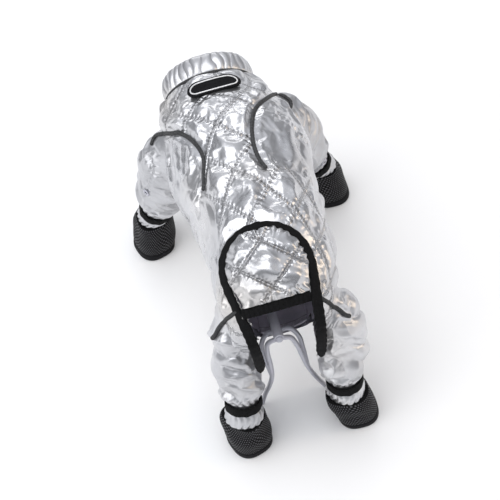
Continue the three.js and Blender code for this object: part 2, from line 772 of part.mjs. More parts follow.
// The plain blousing tube of a sleeve or a hind leg
function makeLeg(leg) {
  let shell = legSolid(leg, 0, true, 16, 9, 0).subtract(legSolid(leg, -plainWall, false, 10, 5, 1));
  shell = shell.subtract(bodySolid(gap, true, outerStations));
  if (!leg.front) shell = shell.subtract(openingCutter(openingSink / 2));
  const name = (leg.front ? "sleeve_" : "hind_leg_") + (leg.side > 0 ? "right" : "left");
  add(name, cutBack(shell), "silver");
}

// The black elastic band round an ankle, over the end of the leg and the top of the ankle skirt
function makeCuff(leg) {
  const { centre, across, back } = legFrame(leg, 1);
  const steps = 16;
  const outs = Array.from({ length: steps }, (_, i) => {
    const angle = (2 * Math.PI * i) / steps;
    return vector().addScaledVector(across, Math.cos(angle)).addScaledVector(back, Math.sin(angle));
  });
  const radius = ankleRadius + cuffEase + cuffThickness / 2;
  const path = outs.map((out) => centre.clone().addScaledVector(out, radius));
  add("cuff_" + leg.name, sweep(path, outs, flatSection(cuffHeight, cuffThickness), true), "black");
}

// Where the leg's centre line, carried straight on, comes down to the boot's rim
function rimCentre(leg) {
  const { centre, along } = legFrame(leg, 1);
  return centre.addScaledVector(along, (bootHeight - centre.z) / along.z);
}

// The ankle skirt: from under the cuff straight down into the boot, where it spreads to the boot's wall
function makeAnkleSkirt(leg) {
  const { centre, along, across, back } = legFrame(leg, 1);
  const underCuff = centre.clone().addScaledVector(along, cuffHeight / 2 + gap);
  const rim = rimCentre(leg);
  const surface = (lift, past) => {
    const rows = [
      { middle: centre.clone().addScaledVector(along, gap - past), radius: ankleRadius, level: 0 },
      { middle: underCuff, radius: ankleRadius, level: 0 },
      { middle: underCuff.clone().lerp(rim, 0.5), radius: (ankleRadius + skirtRadius) / 2, level: 0.6 },
      { middle: rim, radius: skirtRadius, level: 1 },
      { inBoot: bootHeight - skirtDepth - past },
    ];
    return loft((u, { middle, radius, level, inBoot }) => {
      if (inBoot) return bootPoint(leg, 1 - u, inBoot, lift - bootWall - 4 * gap);
      const a = (radius + lift) * Math.cos(2 * Math.PI * u);
      const b = (radius + lift) * Math.sin(2 * Math.PI * u);
      const tilted = vector().addScaledVector(across, a).addScaledVector(back, b);
      return tilted.lerp(vector(a, -b), level).add(middle);
    }, bootAround, rows);
  };
  add("ankle_skirt_" + leg.name, surface(0, 0).subtract(surface(-skirtWall, 1)), "silver");
}

// A point of the boot's surface at a height, leaning from the sole to the ankle
const upperBase = soleThickness + gap;
const bootAround = 16;
function bootPoint(leg, u, z, lift) {
  const share = (z - upperBase) / (bootHeight - upperBase);
  const power = 2 / bootSquare;
  const c = Math.cos(2 * Math.PI * u);
  const s = Math.sin(2 * Math.PI * u);
  const wide = (bootWidth / 2) * column(bootSections, "wide", share) + lift;
  const long = (bootLength / 2) * column(bootSections, "long", share) + lift;
  const x = Math.sign(c) * Math.abs(c) ** power * wide;
  const y = Math.sign(s) * Math.abs(s) ** power * long;
  const middle = leg.foot.clone().lerp(rimCentre(leg), z / bootHeight).setZ(z);
  return vector(x, y).applyAxisAngle(vector(0, 0, 1), -radians(leg.yaw) * leg.side).add(middle);
}

// The boot's open upper, and the sole under it with its chamfered lower edge
function makeBoot(leg) {
  const rise = [0, 0.45, 1];
  const upper = (lift, past) => {
    const point = (u, v) => bootPoint(leg, u, mix(upperBase - past, bootHeight + past, v), lift);
    return loft(point, bootAround, rise);
  };
  add("boot_" + leg.name, upper(0, 0).subtract(upper(-bootWall, 1)), "rubber");
  const rows = [
    { z: 0, lift: soleLip - soleTuck },
    { z: soleTuck, lift: soleLip },
    { z: soleThickness, lift: soleLip },
  ];
  add("sole_" + leg.name, loft((u, { z, lift }) => bootPoint(leg, u, z, lift), bootAround, rows), "rubber");
}

// The metal ring in a sleeve that the dog's lead or tie goes through
function makeEyelet(leg) {
  const key = leg.side > 0 ? "right" : "left";
  const { along, round, seat: height } = eyelets[key];
  const seat = legPoint(leg, round, along, height * eyeletThickness, true);
  const out = seat.clone().sub(legFrame(leg, along).centre).normalize();
  const shape = new THREE.Shape().absarc(0, 0, eyeletDiameter / 2, 0, 2 * Math.PI);
  shape.holes.push(new THREE.Path().absarc(0, 0, eyeletBore / 2, 0, 2 * Math.PI));
  const settings = { depth: eyeletThickness, bevelEnabled: false, curveSegments: 6 };
  const ring = new THREE.ExtrudeGeometry(shape, settings);
  ring.applyQuaternion(new THREE.Quaternion().setFromUnitVectors(vector(0, 0, 1), out));
  add("eyelet_" + key, fromGeometry(ring.translate(seat.x, seat.y, seat.z)), "piping");
}

// A rod of the stand along chosen points
const underRail = railHeight - (railDiameter - rodDiameter) / 2;
function rod(points) {
  const curve = new THREE.CatmullRomCurve3(points, false, "centripetal");
  const path = curve.getSpacedPoints(Math.round(curve.getLength() / (3.2 * rodDiameter)));
  const steady = path.map(() => vector(0.01, 1, 0.02));
  return sweep(path, steady, roundSection(rodDiameter / 2, 6), false);
}

// Where a rear rod stands on the floor, beside the boot and ahead of it
function standFoot(leg) {
  return leg.foot.clone().add(vector(-leg.side * standFootInset, standFootAhead, standFootClear));
}

// A point of the rear bow from a row of its table
function bowPoint(leg, row) {
  const foot = standFoot(leg);
  const across = leg.side > 0 ? row.right : row.left;
  return vector(mix(railOffset, foot.x, across), mix(railRear, foot.y, row.ahead), row.up * railHeight);
}

// Half of the rear bow, and of the second bow that braces it from a little further ahead
function rearRods(leg) {
  const places = bowPoints.map((row) => bowPoint(leg, row));
  const bow = rod([vector(railOffset, railRear + rodDiameter, underRail), ...places, standFoot(leg)]);
  const start = vector(railOffset, railRear + braceAhead, underRail);
  return bow.add(rod([start, ...bracePoints.map((row) => bowPoint(leg, row)), places[braceJoin]]));
}

// Half of the front bow: inside the sleeve and down to the boot's sole
function frontRod(leg) {
  return rod([
    vector(railOffset, railRear + railLength - rodDiameter, underRail),
    ...frontRodShares.map((share) => legFrame(leg, share).centre),
    rimCentre(leg),
    leg.foot.clone().setZ(soleThickness + 3 * gap),
  ]);
}

// The whole stand: the open rail under the back, and the rods soldered to it
function makeStand() {
  const bar = (radius, past) => {
    const ends = [vector(railOffset, railRear - past, railHeight)];
    ends.push(vector(railOffset, railRear + railLength + past, railHeight));
    return sweep(ends, ends.map(() => vector(0, 0, 1)), roundSection(radius, 14), false);
  };
  let stand = bar(railDiameter / 2, 0);
  for (const leg of legs) stand = stand.add(leg.front ? frontRod(leg) : rearRods(leg));
  add("wire_stand", stand.subtract(bar(railBore / 2, 1)), "steel");
}

makeArchBinding();
legs.forEach(makeLegPiping);
makeBody();
makeCollarPiping();
makeCollar();
makeFlap();
makeFlapBinding();
makeLining();
makePatch();
makePatchBorder();
for (const leg of legs) {
  makeLeg(leg);
  makeCuff(leg);
  makeAnkleSkirt(leg);
  makeBoot(leg);
  if (leg.front) makeEyelet(leg);
}
makeStand();

// The origin is under the middle of the whole, on the floor
const bounds = new THREE.Box3().setFromObject(group);
const middle = bounds.getCenter(vector());
group.position.set(-middle.x, -middle.y, -bounds.min.z);
export default group;
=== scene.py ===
import math
import bpy
import numpy as np
from mathutils import Matrix, Vector
from mathutils.bvhtree import BVHTree


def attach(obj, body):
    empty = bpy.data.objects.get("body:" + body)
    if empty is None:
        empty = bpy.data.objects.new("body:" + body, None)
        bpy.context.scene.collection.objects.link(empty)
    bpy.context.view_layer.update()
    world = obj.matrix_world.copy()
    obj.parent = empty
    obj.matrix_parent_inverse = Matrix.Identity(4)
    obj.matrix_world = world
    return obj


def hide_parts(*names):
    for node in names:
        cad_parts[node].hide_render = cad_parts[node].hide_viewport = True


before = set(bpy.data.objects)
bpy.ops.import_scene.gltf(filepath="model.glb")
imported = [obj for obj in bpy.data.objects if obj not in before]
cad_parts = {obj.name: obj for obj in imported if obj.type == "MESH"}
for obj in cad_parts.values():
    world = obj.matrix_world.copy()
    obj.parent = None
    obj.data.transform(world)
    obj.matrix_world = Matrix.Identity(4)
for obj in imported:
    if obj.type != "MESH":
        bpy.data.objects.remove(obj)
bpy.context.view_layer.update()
patternToPart = np.array([-1.956, -165.317, 0.0])  # the pattern below is drawn in millimetres from the rump


# shader signals

class Signal:
    # a number that changes over a surface, used in sums and products like a plain one
    def __init__(self, finish, socket):
        self.finish = finish
        self.socket = socket

    def math(self, operation, *others, first=None):
        terms = [self if first is None else first, *others]
        if first is not None:
            terms.append(self)
        return self.finish.node("ShaderNodeMath", {"operation": operation}, dict(enumerate(terms)))

    def __add__(self, other):
        return self.math("ADD", other)

    def __sub__(self, other):
        return self.math("SUBTRACT", other)

    def __mul__(self, other):
        return self.math("MULTIPLY", other)

    def __rsub__(self, other):
        return self.math("SUBTRACT", first=other)

    __radd__ = __add__
    __rmul__ = __mul__

    def __truediv__(self, other):
        return self.math("DIVIDE", other)

    def __pow__(self, other):
        return self.math("POWER", other)

    def __abs__(self):
        return self.math("ABSOLUTE")

    def sine(self):
        return self.math("SINE")

    def fromWhole(self):
        # distance to the nearest whole number, 0 to 0.5
        return abs((self + 0.5).math("FRACT") - 0.5)

    def step(self, low, high):
        # 0 below low, 1 above high, smooth between, and the other way round when high is the lower
        settings = {"interpolation_type": "SMOOTHSTEP"}
        flip = high < low
        ends = (high, low, 1.0, 0.0) if flip else (low, high, 0.0, 1.0)
        return self.finish.node("ShaderNodeMapRange", settings, dict(enumerate((self, *ends))))


class Finish:
    # a material: fixed values go straight on the shader, and signals feed the sockets that may vary
    def __init__(self, name, **fixed):
        self.material = bpy.data.materials.new(name)
        self.material.use_nodes = True
        self.tree = self.material.node_tree
        self.shader = self.tree.nodes["Principled BSDF"]
        for key, value in fixed.items():
            self.shader.inputs[key].default_value = value

    def node(self, kind, settings=None, values=None, out=0):
        made = self.tree.nodes.new(kind)
        for key, value in (settings or {}).items():
            setattr(made, key, value)
        for key, value in (values or {}).items():
            self.put(made.inputs[key], value)
        return Signal(self, made.outputs[out])

    def put(self, socket, value):
        if isinstance(value, Signal):
            self.tree.links.new(value.socket, socket)
        else:
            socket.default_value = value

    def feed(self, **signals):
        for key, value in signals.items():
            self.put(self.shader.inputs[key.replace("_", " ")], value)

    def place(self):
        return self.node("ShaderNodeTexCoord", out=3)

    def across(self, layer):
        # the two numbers of a UV map
        both = self.node("ShaderNodeUVMap", {"uv_map": layer})
        split = self.node("ShaderNodeSeparateXYZ", {}, {0: both})
        return split, Signal(self, split.socket.node.outputs[1])

    def noise(self, scale, detail=2.0, rough=0.5, distort=0.0):
        values = {"Vector": self.place(), "Scale": scale, "Detail": detail, "Roughness": rough}
        values["Distortion"] = distort
        return self.node("ShaderNodeTexNoise", {}, values)

    def between(self, share, low, high):
        # a colour between two others
        values = {0: share, 6: low, 7: high}
        return self.node("ShaderNodeMix", {"data_type": "RGBA"}, values, out=2)

    def relief(self, height):
        # height is in metres
        values = {"Strength": 1.0, "Distance": 1.0, "Height": height}
        self.feed(Normal=self.node("ShaderNodeBump", {}, values))


# pattern of the suit

body = {
    "torsoLength": 306.0, "backHeight": 268.0, "bellyHeight": 110.0, "chestWidth": 150.0,
    "neckTilt": 18.0, "tiltStarts": 0.72, "wall": 4.0, "puff": 4.0,
    "diamondsAround": 9.5, "diamondsAlong": 5.0, "crossingColumn": 10, "crossingRow": 7,
    "quiltFades": 0.3, "quiltEnds": 0.36, "pipingDiameter": 4.4, "gap": 0.3, "patchFromNape": 24.0,
    "bellyRearEdge": 50.0,
}
bodyTable = {
    "along": [-0.012, 0.02, 0.06, 0.13, 0.26, 0.42, 0.6, 0.76, 0.89, 1.0],
    "wide": [0.3, 0.59, 0.69, 0.78, 0.81, 0.83, 0.91, 0.98, 0.9, 0.64],
    "top": [0.6, 0.75, 0.84, 0.92, 0.97, 0.985, 0.995, 1.0, 0.985, 0.955],
    "bottom": [0.36, 0.24, 0.16, 0.07, 0.02, 0.01, 0.0, 0.02, 0.12, 0.36],
    "square": [2.0, 2.0, 2.0, 2.1, 2.2, 2.2, 2.2, 2.2, 2.1, 2.0],
    "shift": [-0.02, -0.02, -0.01, 0.0, 0.03, 0.04, 0.03, 0.02, 0.0, -0.02],
}
bodyStart = bodyTable["along"][0]
patchShare = 1 - body["patchFromNape"] / body["torsoLength"]
bodyEnd = 1 - (body["pipingDiameter"] / 2 + body["gap"]) / body["torsoLength"]
legTable = {
    "along": [0.0, 0.22, 0.42, 0.62, 0.8, 0.9],
    "wide": [1.0, 1.04, 1.06, 1.0, 0.88, 0.74],
    "deep": [1.1, 1.14, 1.1, 1.0, 0.86, 0.73],
    "sleeve": [1.0, 1.04, 1.05, 0.93, 0.74, 0.62],
}
legs = {
    "front_right": {
        "side": 1, "front": True, "yaw": 2, "sole": (1.467, 0.987),
        "line": [(0.16, 0.784, 0.734), (0.613, 0.837, 0.68), (0.88, 0.869, 0.493),
                 (1.08, 0.931, 0.246), (1.28, 0.98, 0)],
    },
    "front_left": {
        "side": -1, "front": True, "yaw": 16, "sole": (1.4, 0.971),
        "line": [(0.16, 0.765, 0.734), (0.613, 0.817, 0.68), (0.867, 0.85, 0.493),
                 (1.04, 0.915, 0.246), (1.213, 0.964, 0)],
    },
    "hind_right": {
        "side": 1, "front": False, "yaw": 2, "sole": (0.76, 0.033),
        "line": [(0.38, 0.131, 0.665), (0.5, 0.111, 0.557), (0.63, 0.085, 0.419),
                 (0.65, 0.052, 0.197), (0.64, 0.033, 0)],
    },
    "hind_left": {
        "side": -1, "front": False, "yaw": 18, "sole": (0.813, 0.039),
        "line": [(0.427, 0.15, 0.665), (0.547, 0.144, 0.557), (0.653, 0.131, 0.419),
                 (0.707, 0.098, 0.197), (0.773, 0.056, 0)],
    },
}
ankle = {"radius": 16.4, "rise": 15.0, "sleevePuff": 29.0, "thighPuff": 23.0, "blouseStarts": 0.9,
         "cuffHeight": 11.0}
boot = {"width": 46.0, "length": 50.0, "height": 50.0, "sole": 8.0, "wall": 2.6, "square": 2.6}
opening = {
    "facing": 53.0, "archAlong": 0.262, "archHalfWidth": 44.0, "archHeight": 42.0, "flapEndHalfWidth": 37.0,
    "flapLength": 73.0, "length": 142.0, "endHalfWidth": 30.0, "shift": -5.0, "lean": 0.4, "sink": 60.0,
}


def ramp(x, low, high):
    t = np.clip((x - low) / (high - low), 0, 1)
    return t * t * (3 - 2 * t)


def unit(v):
    return v / np.maximum(np.linalg.norm(v, axis=-1, keepdims=True), 1e-12)


def column(table, key, share):
    # a smooth curve through a table's column: each span is a cubic whose end slopes follow its neighbours
    at, value = np.array(table["along"]), np.array(table[key], float)
    low, high = np.maximum(np.arange(len(at)) - 1, 0), np.minimum(np.arange(len(at)) + 1, len(at) - 1)
    slope = (value[high] - value[low]) / (at[high] - at[low])
    share = np.clip(share, at[0], at[-1])
    i = np.clip(np.searchsorted(at, share, side="right") - 1, 0, len(at) - 2)
    width = at[i + 1] - at[i]
    t = (share - at[i]) / width
    ends = (2 * t**3 - 3 * t**2 + 1) * value[i] + (3 * t**2 - 2 * t**3) * value[i + 1]
    return ends + (t**3 - 2 * t**2 + t) * width * slope[i] + (t**3 - t**2) * width * slope[i + 1]


def waves(points, length, count=22, salt=0):
    # soft random field: a sum of plane waves of about one length in random directions
    dice = np.random.default_rng(900 + salt)
    ways = unit(dice.normal(size=(count, points.shape[-1]))) * (2 * np.pi / length)
    ways = ways * dice.uniform(0.6, 1.5, (count, 1))
    return np.cos(points @ ways.T + dice.uniform(0, 2 * np.pi, count)).sum(-1) / math.sqrt(count / 2)


def bodySection(share):
    tall = body["backHeight"] - body["bellyHeight"]
    tilt = math.radians(body["neckTilt"]) * ramp(share, body["tiltStarts"], 1)
    top = body["bellyHeight"] + tall * column(bodyTable, "top", share)
    bottom = body["bellyHeight"] + tall * column(bodyTable, "bottom", share)
    sway = body["chestWidth"] * column(bodyTable, "shift", share)
    centre = np.stack([sway, share * body["torsoLength"], (top + bottom) / 2], -1)
    up = np.stack([0 * tilt, -np.sin(tilt), np.cos(tilt)], -1)
    wide = body["chestWidth"] / 2 * column(bodyTable, "wide", share)
    return centre, up, (top - bottom) / 2, wide, column(bodyTable, "square", share)


def bodyPoint(u, share, lift=0.0):
    # rounded outline round the section: u turns once from the belly, and lift moves it out
    u, share, lift = np.broadcast_arrays(np.asarray(u, float), np.asarray(share, float),
                                         np.asarray(lift, float))
    centre, up, half, wide, square = bodySection(share)
    s, c = np.sin(2 * np.pi * u), -np.cos(2 * np.pi * u)
    x = np.sign(s) * np.abs(s) ** (2 / square) * (wide + lift)
    h = np.sign(c) * np.abs(c) ** (2 / square) * (half + lift)
    return centre + x[..., None] * np.array([1.0, 0, 0]) + h[..., None] * up


def halved(past, low, high, like):
    # where a falling function of one number reaches zero, by halving the span
    low, high = np.full(like, float(low)), np.full(like, float(high))
    for _ in range(20):
        middle = (low + high) / 2
        before = past(middle) > 0
        low, high = np.where(before, middle, low), np.where(before, high, middle)
    return (low + high) / 2


def bodyField(p):
    # below zero inside the body
    def past(share):
        centre, up, *_ = bodySection(share)
        return (p[..., 1] - centre[..., 1]) * up[..., 2] - (p[..., 2] - centre[..., 2]) * up[..., 1]
    start = bodyTable["along"][0]
    share = halved(past, start, 1, p.shape[:-1])
    centre, up, half, wide, square = bodySection(share)
    x = np.abs(p[..., 0] - centre[..., 0]) / wide
    h = np.abs(((p - centre) * up).sum(-1)) / half
    field = x**square + h**square - 1
    outside = (past(np.full(share.shape, start)) < 0) | (past(np.full(share.shape, 1.0)) > 0)
    return np.where(outside, 1.0, field)


def splined(points, steps=600):
    # a smooth curve through points, its knots spaced by the root of their distance, then evened by length
    p = np.array(points, float)
    p = np.vstack([2 * p[0] - p[1], p, 2 * p[-1] - p[-2]])
    spans = np.maximum(np.linalg.norm(np.diff(p, axis=0), axis=1) ** 0.5, 1e-4)
    t = np.linspace(0, 1, max(8, steps // (len(p) - 3)), endpoint=False)[:, None]
    runs = []
    for i in range(1, len(p) - 2):
        a, b, c = spans[i - 1 : i + 2]
        first = b * ((p[i] - p[i - 1]) / a - (p[i + 1] - p[i - 1]) / (a + b) + (p[i + 1] - p[i]) / b)
        last = b * ((p[i + 1] - p[i]) / b - (p[i + 2] - p[i]) / (b + c) + (p[i + 2] - p[i + 1]) / c)
        rise = -3 * p[i] + 3 * p[i + 1] - 2 * first - last
        runs.append(p[i] + first * t + rise * t**2 + (2 * p[i] - 2 * p[i + 1] + first + last) * t**3)
    dense = np.vstack([*runs, p[-2]])
    far = np.concatenate([[0], np.cumsum(np.linalg.norm(np.diff(dense, axis=0), axis=1))])
    return dense, far / far[-1], far[-1]


def pointAt(curve, share):
    return np.stack([np.interp(share, curve[1], curve[0][:, k]) for k in range(3)], -1)


def evened(points, count):
    return pointAt(splined(points, max(600, 4 * count)), np.linspace(0, 1, count))


def legPlace(leg, out, along, up):
    height = boot["height"] + ankle["rise"]
    z = height + (body["backHeight"] - height) * up
    return np.array([leg["side"] * out * body["chestWidth"] / 2, along * body["torsoLength"], z])


for leg in legs.values():
    leg["curve"] = splined([legPlace(leg, *row) for row in leg["line"]])
    leg["puff"] = ankle["sleevePuff" if leg["front"] else "thighPuff"]
    leg["cuffShare"] = 1 - (ankle["cuffHeight"] / 2 + body["gap"]) / leg["curve"][2]
    leg["foot"] = legPlace(leg, *leg["sole"], 0) * [1, 1, 0]
hindLegs = [leg for leg in legs.values() if not leg["front"]]


def legFrame(leg, share):
    # the centre line's place, its direction, and the two directions across it
    share = np.asarray(share, float)
    centre = pointAt(leg["curve"], share)
    ahead = pointAt(leg["curve"], np.minimum(share + 0.01, 1))
    behind = pointAt(leg["curve"], np.maximum(share - 0.01, 0))
    along = unit(ahead - behind)
    across = unit(np.array([1.0, 0, 0]) - along * along[..., :1])
    return centre, along, across, np.cross(along, across)


def legRadius(leg, share, key):
    drawn = ramp(share, ankle["blouseStarts"], leg["cuffShare"])
    shape = column(legTable, "sleeve" if leg["front"] else key, share)
    return leg["puff"] * shape * (1 - drawn) + ankle["radius"] * drawn


def legPoint(leg, u, share, lift=0.0):
    u, share, lift = np.broadcast_arrays(np.asarray(u, float), np.asarray(share, float),
                                         np.asarray(lift, float))
    centre, _, across, back = legFrame(leg, share)
    wide = (legRadius(leg, share, "wide") + lift) * np.cos(2 * np.pi * u)
    deep = (legRadius(leg, share, "deep") + lift) * np.sin(2 * np.pi * u)
    return centre + wide[..., None] * across + deep[..., None] * back


def legField(leg, p):
    # below zero inside a leg
    def past(share):
        centre, along, *_ = legFrame(leg, share)
        return ((p - centre) * along).sum(-1)
    share = halved(past, 0, 1, p.shape[:-1])
    centre, _, across, back = legFrame(leg, share)
    a = ((p - centre) * across).sum(-1) / legRadius(leg, share, "wide")
    b = ((p - centre) * back).sum(-1) / legRadius(leg, share, "deep")
    outside = (past(np.zeros(share.shape)) < 0) | (past(np.ones(share.shape)) > 0)
    return np.where(outside, 1.0, a * a + b * b - 1)


facing = math.radians(opening["facing"])
outward = np.array([0, -math.cos(facing), math.sin(facing)])
rise = np.array([0, math.sin(facing), math.cos(facing)])
archTop = float(bodyPoint(0.5, opening["archAlong"]) @ rise)


def openingHalfWidth(down):
    # half an ellipse over the arch, then two straight runs that draw in
    o = opening
    arch = o["archHalfWidth"] * np.sqrt(np.clip(1 - (1 - down / o["archHeight"]) ** 2, 0, 1))
    drawn = ramp(down, o["archHeight"], o["flapLength"])
    flap = o["archHalfWidth"] + (o["flapEndHalfWidth"] - o["archHalfWidth"]) * drawn
    share = (down - o["flapLength"]) / (o["length"] - o["flapLength"])
    low = o["flapEndHalfWidth"] + (o["endHalfWidth"] - o["flapEndHalfWidth"]) * share
    return np.where(down < o["archHeight"], arch, np.where(down < o["flapLength"], flap, low))


def openingCentre(down):
    return opening["shift"] * (1 - opening["lean"] * np.minimum(1, down / opening["length"]))


def inOpening(p, near):
    down = archTop - p @ rise
    inside = np.abs(p[..., 0] - openingCentre(down)) < openingHalfWidth(np.clip(down, 0, opening["length"]))
    return inside & (down > 0) & (down < opening["length"]) & (p @ outward > near)


# rear opening

def gridFaces(rows, columns, wrapColumns, wrapRows):
    r = np.arange(rows if wrapRows else rows - 1)[:, None]
    c = np.arange(columns if wrapColumns else columns - 1)[None, :]
    n, m = (c + 1) % columns, (r + 1) % rows
    return np.stack([r * columns + c, r * columns + n, m * columns + n, m * columns + c], -1).reshape(-1, 4)


def easedRows(p, times, ring=False):
    for _ in range(times):
        before, after = np.roll(p, 1, 0), np.roll(p, -1, 0)
        if not ring:
            before[0], after[-1] = p[0], p[-1]
        moved = (2 * p + before + after) / 4
        if not ring:
            moved[0], moved[-1] = p[0], p[-1]
        p = moved
    return p


def restTree(limbs):
    # the smooth body and some of its legs, closed, to lay pieces on
    corners, polygons = [], []
    shares = np.linspace(0, 1, 90)
    u = np.arange(120)[None, :] / 120
    grids = [bodyPoint(u, (bodyStart + (1 - bodyStart) * shares)[:, None])]
    grids += [legPoint(leg, u, shares[:, None]) for leg in limbs]
    for grid in grids:
        start = sum(len(c) for c in corners)
        corners.append(grid.reshape(-1, 3))
        polygons += (gridFaces(90, 120, True, False) + start).tolist() + [list(range(start, start + 120))]
    return BVHTree.FromPolygons(np.vstack(corners).tolist(), polygons)


rearTree = restTree(hindLegs)


def rearSurface(x, down):
    # the surface's depth along the way that the opening faces, and its normal
    x, down = np.broadcast_arrays(x, down)
    depth, normal = np.zeros(x.shape), np.zeros((*x.shape, 3))
    for at in np.ndindex(x.shape):
        start = rise * (archTop - down[at]) + outward * 300 + np.array([x[at], 0, 0])
        hit, way, _, far = rearTree.ray_cast(Vector(start), Vector(-outward))
        depth[at] = 300 - far if hit and 300 - far > opening["sink"] else opening["sink"]
        normal[at] = way if hit else outward
    flipped = np.sign((normal * outward).sum(-1, keepdims=True) + 1e-9)
    return depth, normal * flipped


def openingPoint(x, down, depth):
    place = rise * (archTop - down)[..., None] + outward * depth[..., None]
    return place + x[..., None] * np.array([1.0, 0, 0])


def openingEdge(steps=24, archShare=0.42):
    t = 2 * np.arange(steps + 1) / steps - 1
    across = np.abs(t) / archShare
    arch = opening["archHeight"] * (1 - np.cos(np.pi / 2 * across))
    drop = opening["length"] - opening["archHeight"]
    low = opening["archHeight"] + drop * (across - 1) / (1 / archShare - 1)
    down = np.where(across < 1, arch, low)
    return openingCentre(down) + np.sign(t) * openingHalfWidth(down), down


edgeX, edgeDown = openingEdge()
edgeDepth, edgeNormal = rearSurface(edgeX, edgeDown)
edgePath = easedRows(openingPoint(edgeX, edgeDown, edgeDepth), 3)
edgeNormals = unit(easedRows(edgeNormal, 5))
edgeDense = pointAt(splined(edgePath), np.linspace(0, 1, 160))


# piping lines as points of the pattern: over the back of each armhole, and round the top of each hind leg
seams = {
    "armhole_piping_left": [(-76.6, 256.8, 211), (-71, 262, 217), (-64.4, 255.2, 227), (-57.4, 240, 243),
                            (-50.5, 233, 249),
                            (-44.5, 225.6, 251), (-39.4, 211.3, 257), (-35.4, 200.6, 258),
                            (-33.3, 192, 258), (-32.5, 183.4, 257),
                            (-33.5, 175.7, 255), (-36, 167.5, 252), (-38.2, 159.8, 249), (-41.5, 152, 245)],
    "armhole_piping_right": [(74, 242, 226), (72.4, 259.4, 218), (67.7, 264.7, 222), (62.3, 267, 224),
                             (53.7, 250, 246),
                             (45.7, 238.2, 256), (38.9, 230.4, 261), (33.1, 224, 262), (28, 214.4, 264),
                             (24.3, 203.4, 265),
                             (21.5, 192.3, 266), (19.6, 181, 266), (18.8, 169.3, 266), (20.2, 154.4, 266),
                             (24, 143, 265)],
    "hip_piping_left": [(-46, 17, 224), (-51.2, 20.8, 214), (-56.4, 29, 197), (-62, 33, 182),
                        (-67, 34, 171), (-70, 37, 162)],
    "hip_piping_right": [(31, 13, 226), (38, 10.7, 216), (45, 11.2, 204), (51.6, 14, 187), (57.8, 13, 174),
                         (61, 14.5, 169)],
}
seamTree = restTree(legs.values())


def laidDown(points):
    # the line through the points, moved to the nearest place of the cloth, with the cloth's normal there
    line = np.array(points, float)
    dense = pointAt(splined(line), np.linspace(0, 1, 300))
    found = [seamTree.find_nearest(Vector(one)) for one in dense]
    path, normals = np.array([list(one[0]) for one in found]), np.array([list(one[1]) for one in found])
    return easedRows(path, 6), unit(easedRows(normals, 16))


laidSeams = {name: laidDown(points) for name, points in seams.items()}


def clearOfSeams(p):
    # 0 under the pipings, 1 away from them
    flat = p.reshape(-1, 3)
    near = np.full(len(flat), 1e9)
    for path, _ in laidSeams.values():
        for one in path[::2]:
            near = np.minimum(near, ((flat - one) ** 2).sum(1))
    return ramp(np.sqrt(near), 1.5, 9).reshape(p.shape[:-1])


# lines of gathers drawn up by a cord inside the cloth of each sleeve
gathers = {
    "right": [(52.9, 225.2, 250), (55.7, 215.6, 250), (58.6, 207.7, 248), (62.2, 204.3, 241),
              (66.3, 204.2, 230), (69.6, 199, 225), (76, 204, 207),
              (84, 212, 190), (92, 225, 168)],
    "left": [(-80.7, 258.9, 204), (-80.9, 248.2, 203), (-81.2, 241.3, 198), (-85.4, 239.9, 188),
             (-91.8, 245.4, 171), (-98.4, 256.9, 146)],
}


def gathered(p):
    # a channel with short pleats across it, fading at both sides and ends
    lift = np.zeros(p.shape[:-1])
    for points in gathers.values():
        line = evened(points, 90)
        far = np.stack([((p - one) ** 2).sum(-1) for one in line])
        nearest, off = far.argmin(0), np.sqrt(far.min(0))
        along = nearest / 89
        ends = ramp(along, 0.0, 0.08) * ramp(-along, -1.0, -0.92)
        pleat = np.abs(np.sin(nearest * 0.62 + 0.08 * off * np.sin(nearest * 0.9))) - 0.45
        lift += ends * (2.6 * pleat * np.exp(-((off / 11) ** 2)) - 2.4 * np.exp(-((off / 2.4) ** 2)))
    return lift


chestMiddle = 190.0  # height that the angle round the chest is measured at


def sleeveCap(p):
    # 1 on the plain cloth outside an armhole's piping, found on a map of length against the angle
    # round the chest
    inside = np.zeros(p.shape[:-1], bool)
    for name, side in (("armhole_piping_left", -1), ("armhole_piping_right", 1)):
        path = laidSeams[name][0]
        turn, at = np.arctan2(path[:, 0] * side, path[:, 2] - chestMiddle), path[:, 1]
        turn, at = np.append(turn, [2.2, 2.2]), np.append(at, [at[-1], at[0]])
        angle = np.arctan2(p[..., 0] * side, p[..., 2] - chestMiddle)
        crossed = np.zeros(p.shape[:-1], int)
        for a0, y0, a1, y1 in zip(turn, at, np.roll(turn, -1), np.roll(at, -1)):
            spans = (p[..., 1] > y0) != (p[..., 1] > y1)
            crossed += spans & (angle < a0 + (p[..., 1] - y0) * (a1 - a0) / (y1 - y0 if y1 != y0 else 1e-9))
        inside |= crossed % 2 == 1
    return inside * 1.0


def nearBinding(p):
    # distance to the edge of the rear opening
    near = np.full(p.shape[:-1], 1e9)
    for one in edgeDense:
        near = np.minimum(near, ((p - one) ** 2).sum(-1))
    return np.sqrt(near)


def clearOfBinding(p):
    # 0 under the binding of the rear opening, 1 away from it
    return ramp(nearBinding(p), 5, 15)


# meshes

def cellCorners(rows, columns, wrapColumns, wrapRows):
    # row and column numbers at each corner of each cell, not wrapped, for the UV maps
    rowCells = np.arange(rows if wrapRows else rows - 1)
    columnCells = np.arange(columns if wrapColumns else columns - 1)
    r, c = np.meshgrid(rowCells, columnCells, indexing="ij")
    rowNumbers = np.stack([r, r, r + 1, r + 1], -1).reshape(-1, 4)
    return rowNumbers, np.stack([c, c + 1, c + 1, c], -1).reshape(-1, 4)


usedPoints = {}  # the numbers of the grid points that each piece kept


